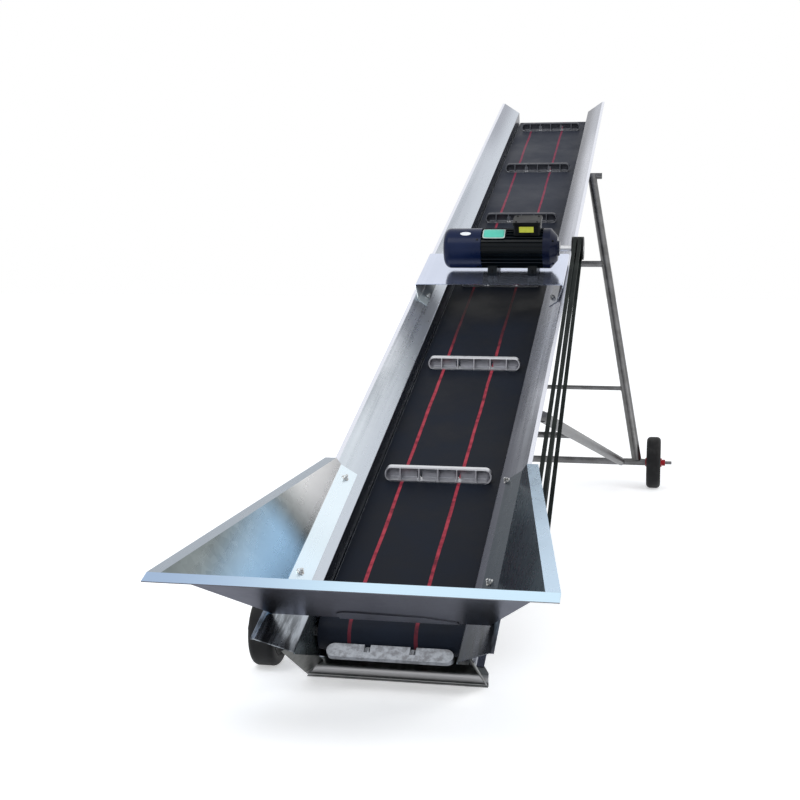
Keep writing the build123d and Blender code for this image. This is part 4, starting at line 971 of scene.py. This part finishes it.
axle_from_tail = 3.55
axle_height = 0.130
axle_place = Vector((0, tail_drum_y + axle_from_tail, axle_height))
top_bar_rise = -178.7
limb_table = (
    # station of the upper end, upper half span, lower half span, limb radius
    (4550.0, 255.0, 551.0, 24.0),
    (1550.0, 246.0, 470.0, 21.0),
)
cross_bar_table = (
    # limb, height over the floor, bar radius
    (0, 1.140, 17.0),
    (0, 0.490, 11.0),
    (1, 0.415, 12.5),
)
loop_steps = 40
loops, edges = [], []
for limb, height, bar_radius in cross_bar_table:
    station, upper_span, lower_span, limb_radius = limb_table[limb]
    for hand in (-1, 1):
        upper = on_slope(hand * upper_span, station, top_bar_rise)
        lower = axle_place + across * hand * lower_span * 0.001
        run = (lower - upper).normalized()
        crossing = upper + (lower - upper) * ((upper.z - height) / (upper.z - lower.z))
        first = len(loops)
        radius = bar_radius * 0.001
        for step in range(loop_steps):
            angle = math.tau * step / loop_steps
            rim_y = crossing.y + radius * math.cos(angle)
            rim = Vector((0, rim_y, height + radius * math.sin(angle)))
            # Where a line along the bar meets the limb's tube, on the side towards the middle
            gap = rim - crossing
            gap.x = 0
            flat = across - run * run.x
            lean = gap - run * gap.dot(run)
            a, b = flat.dot(flat), flat.dot(lean)
            c = lean.dot(lean) - (limb_radius * 0.001) ** 2
            x = (-b - hand * math.sqrt(max(0.0, b * b - a * c))) / a
            loops.append(crossing + gap + across * x)
            edges.append((first + step, first + (step + 1) % loop_steps))
mesh = bpy.data.meshes.new("cross_bar_loops")
mesh.from_pydata(loops, edges, [])
bead_values = {
    "Step": 0.0022,
    "Bead Radius": 0.0026,
    "Ripple": 0.14,
    "Ripple Seed": 4,
    "Finish": weld_steel,
}
cross_bar_welds = grow("cross_bar_welds", mesh, weld_bead, bead_values, weld_steel, True)
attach(cross_bar_welds, "frame")

# Wheels
# Solid black rubber tyres on pressed steel rims: red on the axle, black at the tail. The caps
# over the wheels' nuts are red too.
red_enamel = enamel("red_enamel", (0.42, 0.012, 0.022), (0.30, 0.010, 0.016), 0.32)
dress(("main_left_rim", "main_right_rim", "wheel_nuts"), red_enamel)
dress(("tail_left_rim",), black_enamel)
tyre_rubber, tree, shader = new_finish("tyre_rubber", (0.008, 0.008, 0.009), 0.0, 0.58, 0.22)
dust = object_noise(tree, 18.0, 5.0)
grit = object_noise(tree, 380.0, 3.0)
tyre_tone = wire_blend(tree, dust, 0.4, 0.75, (0.007, 0.007, 0.008), (0.022, 0.022, 0.022))
tree.links.new(tyre_tone, shader.inputs["Base Color"])
wire_bump(tree, shader, grit, 0.0004, 0.4)
dress(("main_left_tyre", "main_right_tyre", "tail_left_tyre"), tyre_rubber)

# Ring lines moulded in the tyres' sides
tail_axle_y = tail_drum_y + 0.140
tyre_table = (
    # name, body, centre, radius, width
    ("main_left_rings", "main_wheel_left", (-0.634, axle_place.y, axle_height), 130.0, 70.0),
    ("main_right_rings", "main_wheel_right", (0.634, axle_place.y, axle_height), 130.0, 70.0),
    ("tail_left_rings", "tail_wheel", (-0.376, tail_axle_y, 0.098), 98.0, 70.0),
)
ring_table = (
    # side, share of the tyre's radius
    (-1, 0.70),
    (-1, 0.80),
    (1, 0.70),
    (1, 0.80),
)
ring_sink = 0.6
bead = 1.1
ring_steps, bead_sides = 72, 6
for name, body, centre, radius, width in tyre_table:
    vertices, faces = [], []
    for hand, share in ring_table:
        x, ring_radius = hand * (width / 2 - ring_sink), radius * share
        first = len(vertices)
        for step in range(ring_steps):
            angle = math.tau * step / ring_steps
            for corner in range(bead_sides):
                turn_angle = math.tau * corner / bead_sides
                reach = (ring_radius + bead * math.cos(turn_angle)) * 0.001
                side_step = (x + bead * math.sin(turn_angle)) * 0.001
                ring_point = (side_step, reach * math.cos(angle), reach * math.sin(angle))
                vertices.append(Vector(centre) + Vector(ring_point))
        for step in range(ring_steps):
            here, there = first + step * bead_sides, first + (step + 1) % ring_steps * bead_sides
            for corner in range(bead_sides):
                over = (corner + 1) % bead_sides
                faces.append((here + corner, there + corner, there + over, here + over))
    rings = mesh_piece(name, vertices, faces, tyre_rubber, True)
    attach(rings, body)
